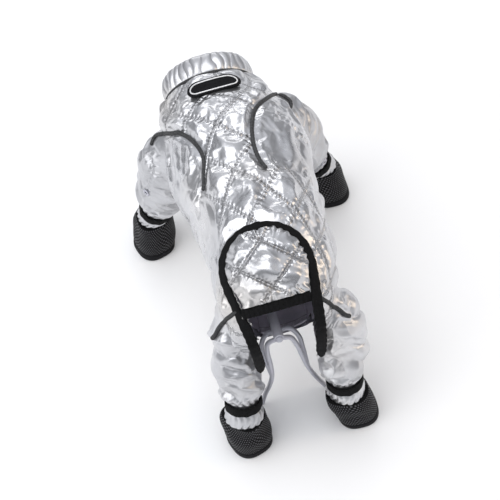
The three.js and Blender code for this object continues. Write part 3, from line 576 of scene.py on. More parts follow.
def makePiece(name, points, finish, node=None, around=False, ring=False, keep=None, maps=None, numbers=None,
              caps=False, flip=False, thickness=0.0):
    # a grid of points in pattern millimetres as one smooth piece of the suit
    rows, columns = points.shape[:2]
    faces = gridFaces(rows, columns, around, ring)
    kept = np.ones(len(faces), bool) if keep is None else keep(points.reshape(-1, 3)[faces].mean(1))
    used = np.unique(faces[kept])
    where = np.full(rows * columns, -1)
    where[used] = np.arange(len(used))
    quads = where[faces[kept]]
    if flip:
        quads = quads[:, ::-1]
    polygons = quads.tolist()
    if caps:
        first, last = list(range(columns)), list(range((rows - 1) * columns, rows * columns))
        polygons += [first if flip else first[::-1], last[::-1] if flip else last]
    mesh = bpy.data.meshes.new(name)
    mesh.from_pydata(((points.reshape(-1, 3)[used] + patternToPart) * 0.001).tolist(), [], polygons)
    for key, values in (maps or {}).items():
        layer = mesh.uv_layers.new(name=key)
        r, c = cellCorners(rows, columns, around, ring)
        both = np.stack(values(r[kept], c[kept]), -1)
        both = both[:, ::-1] if flip else both
        flat = np.zeros((len(mesh.loops), 2), np.float32)
        flat[: both.size // 2] = both.reshape(-1, 2)
        layer.data.foreach_set("uv", flat.ravel())
    for key, values in (numbers or {}).items():
        layer = mesh.attributes.new(key, "FLOAT", "POINT")
        layer.data.foreach_set("value", values.ravel()[used].astype(np.float32))
    mesh.polygons.foreach_set("use_smooth", np.ones(len(mesh.polygons), bool))
    mesh.materials.append(finish.material)
    mesh.update()
    piece = bpy.data.objects.new(name, mesh)
    bpy.context.scene.collection.objects.link(piece)
    if thickness:
        solid = piece.modifiers.new("thickness", "SOLIDIFY")
        solid.thickness = thickness * 0.001
        solid.offset = -1
    if node:
        for one in [node] if isinstance(node, str) else node:
            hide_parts(one)
    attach(piece, "root")
    usedPoints[name] = used
    return piece


def sweep(path, normals, section, ring=False):
    # a section carried along a path: its first number goes across, its second out along the normals
    if ring:
        ahead = unit(np.roll(path, -1, 0) - np.roll(path, 1, 0))
    else:
        ahead = unit(np.gradient(path, axis=0))
    side = unit(np.cross(ahead, normals))
    out = np.cross(side, ahead)
    section = np.broadcast_to(section, (len(path), *np.shape(section)[-2:]))
    return path[:, None] + section[..., :1] * side[:, None] + section[..., 1:] * out[:, None]


def tape(width, thickness, sides=20, square=3.4):
    # rounded flat section of a tape
    t = 2 * np.pi * (np.arange(sides) + 0.5) / sides
    c, s = np.cos(t), np.sin(t)
    return np.stack([np.sign(c) * np.abs(c) ** (2 / square) * width / 2,
                     np.sign(s) * np.abs(s) ** (2 / square) * thickness / 2], -1)


def tapered(section, count, ends):
    # the section at each step of a run, drawn in over a few steps at both ends so that they close softly
    i = np.minimum(np.arange(count), np.arange(count)[::-1]) / ends
    scale = np.sqrt(np.clip(1 - (1 - np.minimum(i, 1)) ** 2, 0.02, 1))
    return section[None] * scale[:, None, None]


# finishes

stitching = {"alongUnit": 39.5, "acrossUnit": 38.4, "stitch": 3.3, "pucker": 5.3}  # millimetres


def stitched(finish):
    # relief and mask of stitch lines along the whole numbers of the quilt map, with the puckers across them
    a, b = finish.across("quilt")
    plain = finish.node("ShaderNodeAttribute", {"attribute_name": "plain"}, out=2)
    quilted = 1 - plain
    relief, thread = None, None
    for line, run in ((a, b), (b, a)):
        off = line.fromWhole() * stitching["acrossUnit"]
        wobble = finish.noise(130.0, 1.0) * 9.0
        pucker = (run * (stitching["alongUnit"] / stitching["pucker"]) * 2 * math.pi + wobble).sine()
        near = off.step(7.5, 0.4)
        row = abs(off - 0.9)
        hole = (run * (stitching["alongUnit"] / stitching["stitch"])).fromWhole().step(0.40, 0.30)
        hole = hole * row.step(0.75, 0.4)
        part = (pucker * near * near * 0.00048 - off.step(3.2, 0.0) * 0.0011 - hole * 0.0002) * quilted
        relief = part if relief is None else relief + part
        mark = (hole + off.step(0.9, 0.2) * 0.2) * quilted
        thread = mark if thread is None else thread.math("MAXIMUM", mark)
    seam = abs(plain - 0.5).step(0.08, 0.02)
    relief = relief - seam * 0.0008
    thread = thread.math("MAXIMUM", seam * 0.8)
    return relief, thread, plain


def foil(finish, depth=1.0):
    # fine sharp creases of coated cloth: folded noise at two sizes, over a fine grain
    bent = finish.noise(30.0 if depth < 1.5 else 17.0, 0.6 if depth > 1.5 else 1.4, 0.4, 0.7)
    large = 1 - abs(bent * 2 - 1)
    fine = 1 - abs(finish.noise(95.0, 2.0, 0.55, 0.8) * 2 - 1)
    tiny = finish.noise(420.0, 2.0, 0.6)
    return (large ** 3.0) * (0.0007 * depth) + (fine ** 5.0) * 0.00006 + tiny * 0.000005


def silverFinish(name, quilt, depth=1.0, tint=0.0):
    made = Finish(name, Metallic=0.92)
    relief = foil(made, depth)
    mottle = made.noise(14.0, 3.0, 0.55)
    # blotches tinted warm tan: a painted reflection of warm surroundings on the foil
    paintedWarmReflection = made.noise(9.0, 1.0).step(0.55, 0.75)
    colour = made.between(mottle.step(0.3, 0.7), (0.50, 0.503, 0.52, 1), (0.65, 0.653, 0.672, 1))
    colour = made.between(paintedWarmReflection * 0.35, colour, (0.74, 0.69, 0.62, 1))
    rough = made.noise(40.0, 2.0) * 0.12 + 0.22
    rough = rough + (0.0 if quilt else 0.08)
    if quilt:
        lines, thread, _ = stitched(made)
        relief = relief + lines
        colour = made.between(thread * 0.5, colour, (0.17, 0.17, 0.18, 1))
        rough = rough + thread * 0.4
    made.feed(Base_Color=colour, Roughness=rough)
    made.relief(relief)
    return made


def clothFinish(name, low, high, rough, pitch, depth, **fixed):
    # woven cloth: two crossed ribs on the piece's own map, in millimetres
    made = Finish(name, **fixed)
    u, v = made.across("cloth")
    rib = (u * (2 * math.pi / pitch)).sine() * (v * (2 * math.pi / pitch)).sine()
    fuzz = made.noise(600.0, 3.0, 0.7)
    made.feed(Base_Color=made.between(fuzz.step(0.3, 0.75), low, high), Roughness=fuzz * 0.15 + rough)
    made.relief(rib * depth + fuzz * 0.00015)
    return made


silverQuilt = silverFinish("quilted foil cloth", True)
silverPlain = silverFinish("plain foil cloth", False, 2.2)
dull = {"Specular IOR Level": 0.18}
blackTape = clothFinish("black woven tape", (0.002, 0.002, 0.002, 1), (0.008, 0.008, 0.009, 1), 0.8, 1.3,
                        0.00012, **dull)
elastic = clothFinish("black ribbed elastic", (0.002, 0.002, 0.002, 1), (0.009, 0.009, 0.01, 1), 0.8, 1.8,
                      0.0002, **dull)
patchCloth = clothFinish("black patch twill", (0.003, 0.003, 0.004, 1), (0.008, 0.008, 0.01, 1), 0.7, 0.8,
                         0.00004, **dull)
whiteThread = clothFinish("white satin thread", (0.7, 0.7, 0.72, 1), (0.92, 0.92, 0.92, 1), 0.4, 0.7, 0.00006)
pipingCloth = clothFinish("dark corded piping", (0.022, 0.023, 0.024, 1), (0.07, 0.07, 0.072, 1), 0.42, 1.4,
                          0.0001, Metallic=0.35)


def makeLiningFinish(name, hemmed):
    made = Finish(name)
    u, v = made.across("cloth")
    weave = (u * 7.0).sine() * (v * 7.0).sine()
    mottle = made.noise(30.0, 3.0)
    # the lining's own grey-purple, painted lighter than the dark cloth really is: painted light against the
    # shade inside the suit
    colour = made.between(mottle.step(0.3, 0.7), (0.38, 0.36, 0.43, 1), (0.52, 0.49, 0.57, 1))
    relief = weave * 0.00004 + mottle * 0.0008
    if hemmed:
        hem = v.step(8.3, 7.9)
        rib = (u * (2 * math.pi / 1.9)).sine() * v.step(6.5, 6.0) * v.step(1.5, 2.0)
        seam = abs(v - 8.4).step(0.9, 0.2).math("MAXIMUM", abs(u - 19.0).step(0.8, 0.2))
        colour = made.between(hem * 0.35 + rib * hem * 0.2, colour, (0.72, 0.70, 0.76, 1))
        colour = made.between(seam * 0.8, colour, (0.05, 0.045, 0.06, 1))
        relief = relief + rib * 0.0003 - seam * 0.0006
    made.feed(Base_Color=colour, Roughness=mottle * 0.2 + 0.6)
    made.relief(relief)
    return made


def makeBootFinish():
    # rubber with small bumps in staggered rows on the boot's own map, in millimetres, smooth near the sole
    made = Finish("dimpled boot rubber", **{"Specular IOR Level": 0.14})
    u, v = made.across("cloth")
    pitch = 2.9
    rows = v * (1 / (pitch * 0.866))
    odd = (rows.math("FLOOR") * 0.5).math("FRACT")
    du = (u / pitch + odd).math("FRACT") - 0.5
    dv = rows.math("FRACT") - 0.5
    far = (du * du + dv * dv * 0.75).math("SQRT")
    bead = far.step(0.38, 0.16)
    textured = v.step(9.0, 11.0)
    grain = made.noise(900.0, 2.0)
    glint = bead * textured
    made.feed(Base_Color=made.between(glint, (0.003, 0.003, 0.0035, 1), (0.10, 0.10, 0.108, 1)),
              Roughness=0.72 - glint * 0.34)
    made.relief(glint * 0.0007 + grain * 0.00004)
    return made


def makeSoleFinish():
    made = Finish("smooth sole rubber", **{"Specular IOR Level": 0.12})
    grain = made.noise(500.0, 3.0)
    made.feed(Base_Color=made.between(grain, (0.005, 0.005, 0.006, 1), (0.014, 0.014, 0.016, 1)),
              Roughness=grain * 0.2 + 0.5)
    made.relief(grain * 0.0001)
    return made


def makeSteelFinish():
    made = Finish("grey painted steel", Metallic=0.3)
    mottle = made.noise(40.0, 3.0)
    made.feed(Base_Color=made.between(mottle, (0.42, 0.425, 0.48, 1), (0.54, 0.54, 0.60, 1)),
              Roughness=mottle * 0.12 + 0.3)
    made.relief(made.noise(300.0, 2.0) * 0.00006)
    return made


liningCloth = makeLiningFinish("dark lining cloth", False)
hemmedLining = makeLiningFinish("hemmed lining cloth", True)
bootRubber = makeBootFinish()
soleRubber = makeSoleFinish()
steelPaint = makeSteelFinish()
print("finishes made")


# quilted body

quilting = {"columns": 210, "rows": 175, "dent": 1.2, "growth": -0.035, "pressure": 1.5}


def quiltMap(u, v):
    # the whole numbers of both sums are the crossing stitch lines
    across = body["diamondsAround"] * u - body["crossingColumn"] / 2
    along = body["diamondsAlong"] * v - body["crossingRow"] / 2
    return across + along, across - along


def pillow(u, v):
    # root of the product of two sines: zero on the stitch lines, one in the middle of a diamond
    a, b = quiltMap(u, v)
    return np.sqrt(np.abs(np.sin(np.pi * a) * np.sin(np.pi * b)))


def plainShare(u, share):
    # the cloth is unquilted round the belly, and on a panel of the left flank that a seam parts from the back
    flank = ramp(u, 0.612, 0.632) * ramp(-share, -0.56, -0.52) * ramp(share, 0.1, 0.16)
    return np.maximum(ramp(np.abs(u - 0.5), body["quiltFades"], body["quiltEnds"]), flank)


def onBackClear(p):
    # 0 under the name patch, 1 away from it
    place = bodyPoint(0.5, patchShare)
    away = np.maximum(np.abs(p[..., 0] - place[0]) - 14, 0)
    return ramp(np.hypot(away, p[..., 1] - place[1]) + 50 * (p[..., 2] < 180), 11, 26)


def underPatch(y):
    # the padding swells towards the collar and tips the patch up
    return 1.0 + 5.5 * ramp(y - patchShare * body["torsoLength"], -14, 13)


def keepBody(middle):
    keep = ~inOpening(middle, opening["sink"] + 15)
    x, y, z = middle.T
    crotch = np.abs(x) < opening["endHalfWidth"]
    crotch = crotch & (y < body["bellyRearEdge"]) & (np.abs(z - body["bellyHeight"]) < 16)
    for leg in legs.values():
        keep &= legField(leg, middle) > -0.22
    return keep & ~crotch & (nearBinding(middle) > 2.6)


def makeQuiltedBody():
    columns, rows = quilting["columns"], quilting["rows"]
    u, v = np.meshgrid(np.arange(columns) / columns, np.linspace(0, 1, rows))
    share = bodyStart + (bodyEnd - bodyStart) * v
    base = bodyPoint(u, share)
    sides = np.maximum(plainShare(u, share), sleeveCap(base))
    seamed = clearOfSeams(base)
    free = clearOfBinding(base) * onBackClear(base) * seamed
    for leg in legs.values():
        free = free * ramp(legField(leg, base), 0.0, 0.5)
    lift = body["puff"] * pillow(u, v) * (1 - sides)
    lift = lift + quilting["dent"] * waves(base, 34, salt=1) * (0.3 + 0.7 * pillow(u, v))
    lift = lift + 2.2 * sleeveCap(base) * (0.6 + 0.5 * np.clip(1 - np.abs(waves(base, 50, salt=5)), -1, 1))
    lift = (lift + gathered(base)) * free
    lift = lift + underPatch(base[..., 1]) * (1 - onBackClear(base)) - 0.8 * (1 - seamed)
    points = bodyPoint(u, share, lift)
    maps = {"quilt": lambda r, c: quiltMap(c / columns, r / (rows - 1))}
    piece = makePiece("quilted_body_cloth", points, silverQuilt, "quilted_body", around=True, keep=keepBody,
                      maps=maps, numbers={"plain": sides})
    used = usedPoints[piece.name]
    a, b = quiltMap(u, v)
    offLine = lambda x: np.abs((x + 0.5) % 1 - 0.5) * stitching["acrossUnit"]
    onLine = (np.minimum(offLine(a), offLine(b)) < 1.3) & (sides < 0.5) | (free < 0.3)
    return piece, onLine.ravel()[used]


def makeInnerBody():
    # the dark lining of the whole body
    u, v = np.meshgrid(np.arange(110) / 110, np.linspace(0.02, 1, 90))
    points = bodyPoint(u, bodyStart + (bodyEnd - bodyStart) * v, -7.5)
    far = lambda r, c: (c * 4.2, r * 3.4)
    return makePiece("body_lining_cloth", points, liningCloth, around=True, keep=keepBody,
                     maps={"cloth": far}, flip=True)


# legs

legCloth = {"columns": 104, "rows": 112, "gathers": 15, "dent": 1.6, "growth": -0.05, "pressure": 1.0}


def foldLines(leg, u, share, salt):
    # long soft folds that run round and slantwise, as ridges of a random field stretched round the leg
    turn = 2 * np.pi * u
    at = np.stack([np.cos(turn) * 20, np.sin(turn) * 20,
                   share * leg["curve"][2] * 1.9 + 14 * np.sin(turn + salt)], -1)
    ridge = 1 - np.abs(waves(at, 74, salt=salt))
    valley = np.abs(waves(at * [1, 1, 0.7], 60, salt=salt + 40)) - 0.6
    return np.clip(ridge, -0.7, 1) * 3.6 + np.clip(valley, -0.6, 1) * 3.2


def makeLegCloth(name, leg, salt):
    columns, rows = legCloth["columns"], legCloth["rows"]
    u, share = np.meshgrid(np.arange(columns) / columns, np.linspace(0.06, 1, rows) ** 0.9)
    near = ramp(share, 0.8, leg["cuffShare"])
    gather = np.abs(np.sin(np.pi * legCloth["gathers"] * (u + 0.02 * np.sin(40 * share + salt)))) - 0.5
    blouse = 1.5 * np.exp(-((share - leg["cuffShare"] + 0.07) / 0.045) ** 2)
    lift = foldLines(leg, u, share, salt) * (1 - ramp(share, 0.86, 0.96)) + gather * near * 2.2 + blouse
    under = ramp(share, leg["cuffShare"] - 0.015, leg["cuffShare"] + 0.01)
    base = legPoint(leg, u, share)
    free = ramp(bodyField(base), 0.0, 0.3) * clearOfSeams(base)
    if not leg["front"]:
        free = free * clearOfBinding(base)
    lift = (lift * (1 - under) - 0.6 * under) * free + gathered(base) * (1 - under)
    points = legPoint(leg, u, share, lift)

    def keep(middle):
        kept = bodyField(middle) > -0.16
        if not leg["front"]:
            kept &= ~inOpening(middle, opening["sink"] / 2) & (nearBinding(middle) > 2.6)
        return kept

    node = ("sleeve_" if leg["front"] else "hind_leg_") + ("right" if leg["side"] > 0 else "left")
    piece = makePiece(node + "_cloth", points, silverPlain, node, around=True, keep=keep)
    used = usedPoints[piece.name]
    held = ((share > leg["cuffShare"] - 0.005) | (share < 0.07) | (free < 0.2)).ravel()[used]
    return piece, held


def edgeVertices(piece):
    # vertices of edges that have one face only
    mesh = piece.data
    loops = np.zeros(len(mesh.loops), int)
    mesh.loops.foreach_get("edge_index", loops)
    once = np.bincount(loops, minlength=len(mesh.edges)) == 1
    ends = np.zeros(len(mesh.edges) * 2, int)
    mesh.edges.foreach_get("vertices", ends)
    found = np.zeros(len(mesh.vertices), bool)
    found[ends.reshape(-1, 2)[once].ravel()] = True
    return found


def crumple(jobs, frames):
    # every job is (piece, held vertices, growth of the cloth, pressure, furthest move in mm, stiffness):
    # the cloth is grown a little and blown out, so that it buckles between the stitches as padded foil does
    scene = bpy.context.scene
    starts = []
    for piece, held, growth, pressure, _, stiff in jobs:
        group = piece.vertex_groups.new(name="held")
        group.add(np.flatnonzero(held | edgeVertices(piece)).tolist(), 1.0, "REPLACE")
        cloth = piece.modifiers.new("crumple", "CLOTH")
        settings = cloth.settings
        settings.quality = 6
        settings.mass = 0.2
        settings.tension_stiffness = settings.compression_stiffness = 20
        settings.shear_stiffness = 8
        settings.bending_stiffness = stiff
        settings.tension_damping = settings.compression_damping = settings.shear_damping = 10
        settings.vertex_group_mass = "held"
        settings.shrink_min = growth
        settings.use_pressure = True
        settings.uniform_pressure_force = pressure
        settings.effector_weights.gravity = 0
        cloth.collision_settings.use_collision = False
        cloth.point_cache.frame_start, cloth.point_cache.frame_end = 1, frames
        starts.append(coordinates(piece))
    for step in range(1, frames + 1):
        scene.frame_set(step)
    view = bpy.context.evaluated_depsgraph_get()
    for (piece, _, _, _, furthest, _), start in zip(jobs, starts):
        moved = coordinates(piece.evaluated_get(view)) - start
        far = np.linalg.norm(moved, axis=1, keepdims=True)
        print(piece.name, "moved", round(float(far.mean()) * 1000, 2), "to",
              round(float(far.max()) * 1000, 2), "mm")
        limit = furthest * 0.001
        moved = moved * np.minimum(1, limit * np.tanh(far / limit) / np.maximum(far, 1e-9))
        piece.modifiers.remove(piece.modifiers["crumple"])
        piece.data.vertices.foreach_set("co", (start + moved).astype(np.float32).ravel())
        piece.data.update()
    scene.frame_set(1)


def coordinates(piece):
    mesh = piece.data
    got = np.zeros(len(mesh.vertices) * 3, np.float32)
    mesh.vertices.foreach_get("co", got)
    return got.reshape(-1, 3).astype(float)


def finishSurface(piece, level):
    if level:
        smoothing = piece.modifiers.new("smoothing", "SUBSURF")
        smoothing.levels = smoothing.render_levels = level


bodyCloth, bodyHeld = makeQuiltedBody()
makeInnerBody()
jobs = [(bodyCloth, bodyHeld, quilting["growth"], quilting["pressure"], 6.0, 0.05)]
for salt, (name, leg) in enumerate(legs.items()):
    piece, held = makeLegCloth(name, leg, salt + 3)
    jobs.append((piece, held, legCloth["growth"], legCloth["pressure"], 6.0, 1.5))
print("body and legs laid out")
crumple(jobs, 18)
print("cloth crumpled")
for piece, *_ in jobs:
    finishSurface(piece, 1)


# seams, bindings and flap

binding = {"width": 10.4, "thickness": 4.2, "steps": 300, "raise": 1.4}


def alongLine(values, count):
    at = np.linspace(0, len(values) - 1, count)
    return np.stack([np.interp(at, np.arange(len(values)), values[:, k]) for k in range(values.shape[1])], -1)


def makeArchBinding():
    count = binding["steps"]
    dense, far, length = splined(edgePath, 1200)
    share = np.linspace(0, 1, count)
    path = np.stack([np.interp(share, far, dense[:, k]) for k in range(3)], -1)
    low = ramp(np.abs(2 * share - 1), 0.42, 0.58)[:, None]
    normals = unit(unit(alongLine(edgeNormals, count)) * (1 - 0.85 * low) + outward * 0.85 * low)
    beside = np.max([rearSurface(edgeX + aside, edgeDown)[0] for aside in (-5, -2.5, 0, 2.5, 5)], axis=0)
    foremost = np.interp(share, np.linspace(0, 1, len(beside)), easedRows(beside[:, None], 4)[:, 0])[:, None]
    path = path + outward * low * (np.maximum(foremost - (path @ outward)[:, None], 0) + 2.0)
    path = easedRows(path, 20)
    section = tapered(tape(binding["width"], binding["thickness"]), count, 16)
    section = section * (1 + 0.05 * np.sin(np.arange(count) * 0.9))[:, None, None]
    rings = sweep(path + normals * (binding["raise"] + 0.25 * np.sin(np.arange(count) * 0.53))[:, None],
                  normals, section)
    maps = {"cloth": lambda r, c: (r * length / count, c * 1.3)}
    makePiece("arch_binding_tape", rings, blackTape, "arch_binding", around=True, caps=True, maps=maps,
              flip=True)
    return path, normals


archPath, archNormals = makeArchBinding()


def makeFrill(name, path, normals, side, offset, width, salt):
    # a ragged run of gathered cloth beside a binding: a narrow strip whose outer edge ripples
    count = len(path) * 4
    p, n = alongLine(path, count), unit(alongLine(normals, count))
    ahead = unit(np.gradient(p, axis=0))
    across = unit(np.cross(ahead, n)) * side
    s = np.linspace(0, 1, count)[:, None] * len(path)
    rows = np.linspace(0, 1, 5)[None, :]
    ripple = np.sin(s * 1.3 + 2.2 * np.sin(s * 0.37 + salt) + np.sin(s * 0.83)) * rows
    reach = offset + width * rows * (0.75 + 0.35 * np.sin(s * 1.13 + salt) * np.sin(s * 0.41))
    height = 0.4 + 0.6 * ripple + 0.5 * rows
    points = p[:, None] + across[:, None] * reach[..., None] + n[:, None] * height[..., None]
    return makePiece(name, points, silverPlain, thickness=0.35)


makeFrill("arch_frill_outer", archPath[70:-75], archNormals[70:-75], 1, 4.2, 3.0, 0.0)
makeFrill("arch_frill_inner", archPath[85:-85], archNormals[85:-85], -1, 4.2, 2.2, 2.0)

flap = {"columns": 90, "rows": 84, "bulge": 7.0, "puff": 4.2, "wall": 3.0}


def flapCoordinates(columns, rows):
    share, down = np.meshgrid(np.linspace(-1, 1, columns),
                              np.linspace(binding["width"] / 2 - 1.5, opening["flapLength"] + 1, rows))
    half = openingHalfWidth(down) - binding["width"] / 2 + 1.2
    return share, down, openingCentre(down) + share * half


def makeFlap():
    share, down, x = flapCoordinates(flap["columns"], flap["rows"])
    coarseRows = np.linspace(0, flap["rows"] - 1, 22).astype(int)
    coarseColumns = np.linspace(0, flap["columns"] - 1, 24).astype(int)
    coarse = np.ix_(coarseRows, coarseColumns)
    sampled, _ = rearSurface(x[coarse], down[coarse])
    rowsAt = np.interp(np.arange(flap["rows"]), coarseRows, np.arange(22))
    columnsAt = np.interp(np.arange(flap["columns"]), coarseColumns, np.arange(24))
    half = np.array([np.interp(rowsAt, np.arange(22), sampled[:, k]) for k in range(24)]).T
    depth = np.array([np.interp(columnsAt, np.arange(24), row) for row in half])
    depth = easedRows(easedRows(depth, 6).T, 6).T
    middle = opening["shift"] * 0.8
    a = (x - middle) / 54 + (down - 38) / 46 + 0.5
    b = (x - middle) / 54 - (down - 38) / 46 + 0.5
    fallen = np.clip(down / opening["flapLength"], 0, 1)
    swell = np.sqrt(np.clip(1 - share**2, 0, 1)) * np.sin(np.pi * fallen**0.8)
    quilt = np.sqrt(np.abs(np.sin(np.pi * a) * np.sin(np.pi * b)))
    around = np.arctan2(down - 38, x - middle)
    rim = np.maximum(ramp(np.abs(share), 0.7, 1), np.maximum(ramp(down, 60, 73), ramp(-down, -20, -6)))
    ripples = np.sin(around * 26 + 1.5 * np.sin(around * 7)) * rim * 1.3
    points = openingPoint(x, down, depth + flap["bulge"] * swell
                          + flap["puff"] * (quilt - 0.35) * (1 - rim) + ripples)
    dents = waves(points, 16, salt=7) * 0.9 * (1 - 0.5 * rim)
    points = points + outward * dents[..., None]
    columns, rows = flap["columns"], flap["rows"]
    grid = lambda k: (lambda r, c: k[np.minimum(r, rows - 1), np.minimum(c, columns - 1)])
    maps = {"quilt": lambda r, c: (grid(a)(r, c), grid(b)(r, c))}
    piece = makePiece("seat_flap_cloth", points, silverQuilt, "seat_flap", maps=maps,
                      numbers={"plain": 0 * a},
                      thickness=flap["wall"], flip=True)
    finishSurface(piece, 1)
    return piece


makeFlap()


def makeFlapBinding():
    count = 120
    down = opening["flapLength"] + body["gap"] + binding["width"] / 2
    half = float(openingHalfWidth(np.array(down))) - 1.5
    x = openingCentre(down) + half * np.linspace(-1, 1, 9)
    depth, _ = rearSurface(x, np.full(9, down))
    path = evened(easedRows(openingPoint(x, np.full(9, down), depth - 1.0), 4), count)
    section = tapered(tape(binding["width"], binding["thickness"]), count, 2)
    bulge = 0.3 * np.sin(np.arange(count) * 0.8)[:, None] * outward
    normals = np.broadcast_to(outward, path.shape)
    maps = {"cloth": lambda r, c: (r * 0.6, c * 1.3)}
    makePiece("flap_binding_tape", sweep(path + bulge, normals, section), blackTape, "flap_binding",
              around=True, caps=True, maps=maps, flip=True)
    makeFrill("flap_frill", path[3:-3], normals[3:-3], -1, 4.0, 4.0, 1.0)


makeFlapBinding()


def roundSection(radius, sides=12):
    t = 2 * np.pi * np.arange(sides) / sides
    return np.stack([radius * np.cos(t), radius * np.sin(t)], -1)


def makePiping(name, path, normals):
    count = len(path)
    section = tapered(roundSection(body["pipingDiameter"] / 2), count, 4)
    section = section * (1 + 0.06 * np.sin(np.arange(count) * 0.9))[:, None, None]
    maps = {"cloth": lambda r, c: (r * 0.9, c * 1.15)}
    makePiece(name + "_cord", sweep(path + 0.9 * normals, normals, section), pipingCloth, name, around=True,
              caps=True,
              maps=maps, flip=True)


for name, (path, normals) in laidSeams.items():
    makePiping(name, path, normals)

neckTilt = math.radians(body["neckTilt"])
neckAhead = np.array([0, math.cos(neckTilt), math.sin(neckTilt)])
collar = {"height": 20.0, "gathers": 30, "depth": 2.8, "columns": 480, "rows": 26, "wall": 2.2}


def makeCollar():
    # gathered elastic band: sharp folds round the neck, their spacing and depth uneven, slack at both edges
    columns, rows = collar["columns"], collar["rows"]
    u, v = np.meshgrid(np.arange(columns) / columns, np.linspace(0, 1, rows))
    turn = 2 * np.pi * u
    phase = collar["gathers"] * turn + 1.6 * np.sin(3 * turn + 1) + 1.1 * np.sin(7 * turn)
    phase = phase + 0.9 * np.sin(5 * v + 9 * turn)
    fold = np.abs(np.sin(phase / 2)) ** 0.7
    uneven = 0.7 + 0.3 * np.sin(11 * turn + 2) + 0.25 * np.sin(5 * turn)
    slack = 0.75 + 0.35 * np.sin(np.pi * v)
    crown = 2.2 * np.sin(np.pi * v) ** 0.6
    lift = -3.0 - 2.0 * v + crown + collar["depth"] * (fold - 0.6) * uneven * slack
    points = bodyPoint(u, 1.0, lift) + neckAhead * (body["pipingDiameter"] / 2 + 0.1
                                                    + collar["height"] * v[..., None])
    piece = makePiece("collar_cloth", points, silverPlain, "collar", around=True, thickness=collar["wall"])


makeCollar()


def makeCollarPiping():
    count = 320
    u = np.arange(count) / count
    path = bodyPoint(u, 1.0, -body["pipingDiameter"] / 4)
    normals = unit(path - path.mean(0))
    rings = sweep(path, normals, roundSection(body["pipingDiameter"] / 2), ring=True)
    maps = {"cloth": lambda r, c: (r * 0.9, c * 1.15)}
    makePiece("collar_piping_cord", rings, pipingCloth, "collar_piping", around=True, ring=True, maps=maps,
              flip=True)


makeCollarPiping()
print("seams and collar made")


# belly lining

lining = {"spread": 0.075, "length": 84.0, "hem": 8.0, "thickness": 1.6, "seat": 2.0}


def makeBellyLining():
    v, share = np.meshgrid(np.linspace(0, 1, 90), np.linspace(-1, 1, 70), indexing="ij")
    along = (body["bellyRearEdge"] - lining["hem"] / 2 + v * lining["length"]) / body["torsoLength"]
    far = v * lining["length"]
    hem = ramp(-far, -lining["hem"], -lining["hem"] + 0.8)
    seam = np.exp(-((share + 0.35) * 29 / 0.9) ** 2)
    ripple = 0.25 * waves(np.stack([share * 29, far], -1), 14, salt=20)
    lift = -body["wall"] - lining["seat"] - lining["thickness"] * (1 + 0.6 * hem) + 0.9 * seam + ripple
    points = bodyPoint(lining["spread"] * share, along, lift)
    maps = {"cloth": lambda r, c: (c * 0.84, r * 0.94)}
    piece = makePiece("belly_lining_cloth", points, hemmedLining, "belly_lining", maps=maps, thickness=1.2,
                      flip=True)


makeBellyLining()

# name patch

patch = {"length": 50.0, "width": 23.0, "thickness": 1.6, "inset": 3.0, "line": 1.4, "seat": 2.6}


def onBack(x, y, lift):
    _, _, half, wide, _ = bodySection(np.array(patchShare))
    y = np.asarray(y)
    raised = lift + underPatch(patchShare * body["torsoLength"] + y)
    return bodyPoint(0.5 - x / (math.pi * float(wide + half)), patchShare + y / body["torsoLength"], raised)


def stadium(radius, count):
    # outline of a bar with round ends
    straight = (patch["length"] - patch["width"]) / 2
    t = np.linspace(-np.pi / 2, np.pi / 2, count // 2)
    right = np.stack([straight + radius * np.cos(t), radius * np.sin(t)], -1)
    return np.vstack([right, -right])


def makeNamePatch():
    # rings from the middle out, over a rounded edge and down to the cloth
    full = patch["width"] / 2
    rows = [(0.02, 1.0), (0.5, 1.0), (0.8, 1.0), (0.93, 0.98), (0.98, 0.85), (1.0, 0.55), (1.0, 0.0),
            (0.99, -1.6)]
    rings = []
    for share, height in rows:
        outline = stadium(full * share, 88)
        straight = (patch["length"] - patch["width"]) / 2
        outline[:, 0] -= np.sign(outline[:, 0]) * straight * (1 - min(1, share * 1.6)) * (share < 0.62)
        rings.append(onBack(outline[:, 0], outline[:, 1], patch["seat"] + patch["thickness"] * height))
    maps = {"cloth": lambda r, c: (c * 1.3, r * 2.0)}
    makePiece("name_patch_cloth", np.array(rings), patchCloth, "name_patch", around=True, caps=True,
              maps=maps)
    outline = alongLine(stadium(full - patch["inset"] - patch["line"] / 2, 120), 400)
    lift = patch["seat"] + patch["thickness"] + 0.25
    path = onBack(outline[:, 0], outline[:, 1], lift)
    normals = unit(onBack(outline[:, 0], outline[:, 1], lift + 1) - path)
    rings = sweep(path, normals, tape(patch["line"], 0.8, 10, 2.0), ring=True)
    maps = {"cloth": lambda r, c: (r * 0.35, c * 0.3)}
    makePiece("patch_border_thread", rings, whiteThread, "patch_border", around=True, ring=True, maps=maps,
              flip=True)


makeNamePatch()
print("lining and patch made")


# cuffs, ankle skirts and boots

bootTable = {"along": [0.0, 0.35, 0.72, 1.0], "wide": [0.94, 1.0, 0.98, 0.9], "long": [0.96, 1.0, 0.92, 0.84]}


def rimCentre(leg):
    centre, along, *_ = legFrame(leg, 1.0)
    return centre + along * (boot["height"] - centre[2]) / along[2]


def bootPoint(leg, u, z, lift):
    # squarish round outline that leans from the sole to the ankle
    u, z, lift = np.broadcast_arrays(np.asarray(u, float), np.asarray(z, float), np.asarray(lift, float))
    share = (z - boot["sole"]) / (boot["height"] - boot["sole"])
    c, s = np.cos(2 * np.pi * u), np.sin(2 * np.pi * u)
    power = 2 / boot["square"]
    x = np.sign(c) * np.abs(c) ** power * (boot["width"] / 2 * column(bootTable, "wide", share) + lift)
    y = np.sign(s) * np.abs(s) ** power * (boot["length"] / 2 * column(bootTable, "long", share) + lift)
    turn = -math.radians(leg["yaw"]) * leg["side"]
    middle = leg["foot"] + (rimCentre(leg) - leg["foot"]) * (z / boot["height"])[..., None]
    spun = np.stack([x * math.cos(turn) - y * math.sin(turn), x * math.sin(turn) + y * math.cos(turn),
                     0 * z], -1)
    place = spun + middle
    place[..., 2] = z
    return place


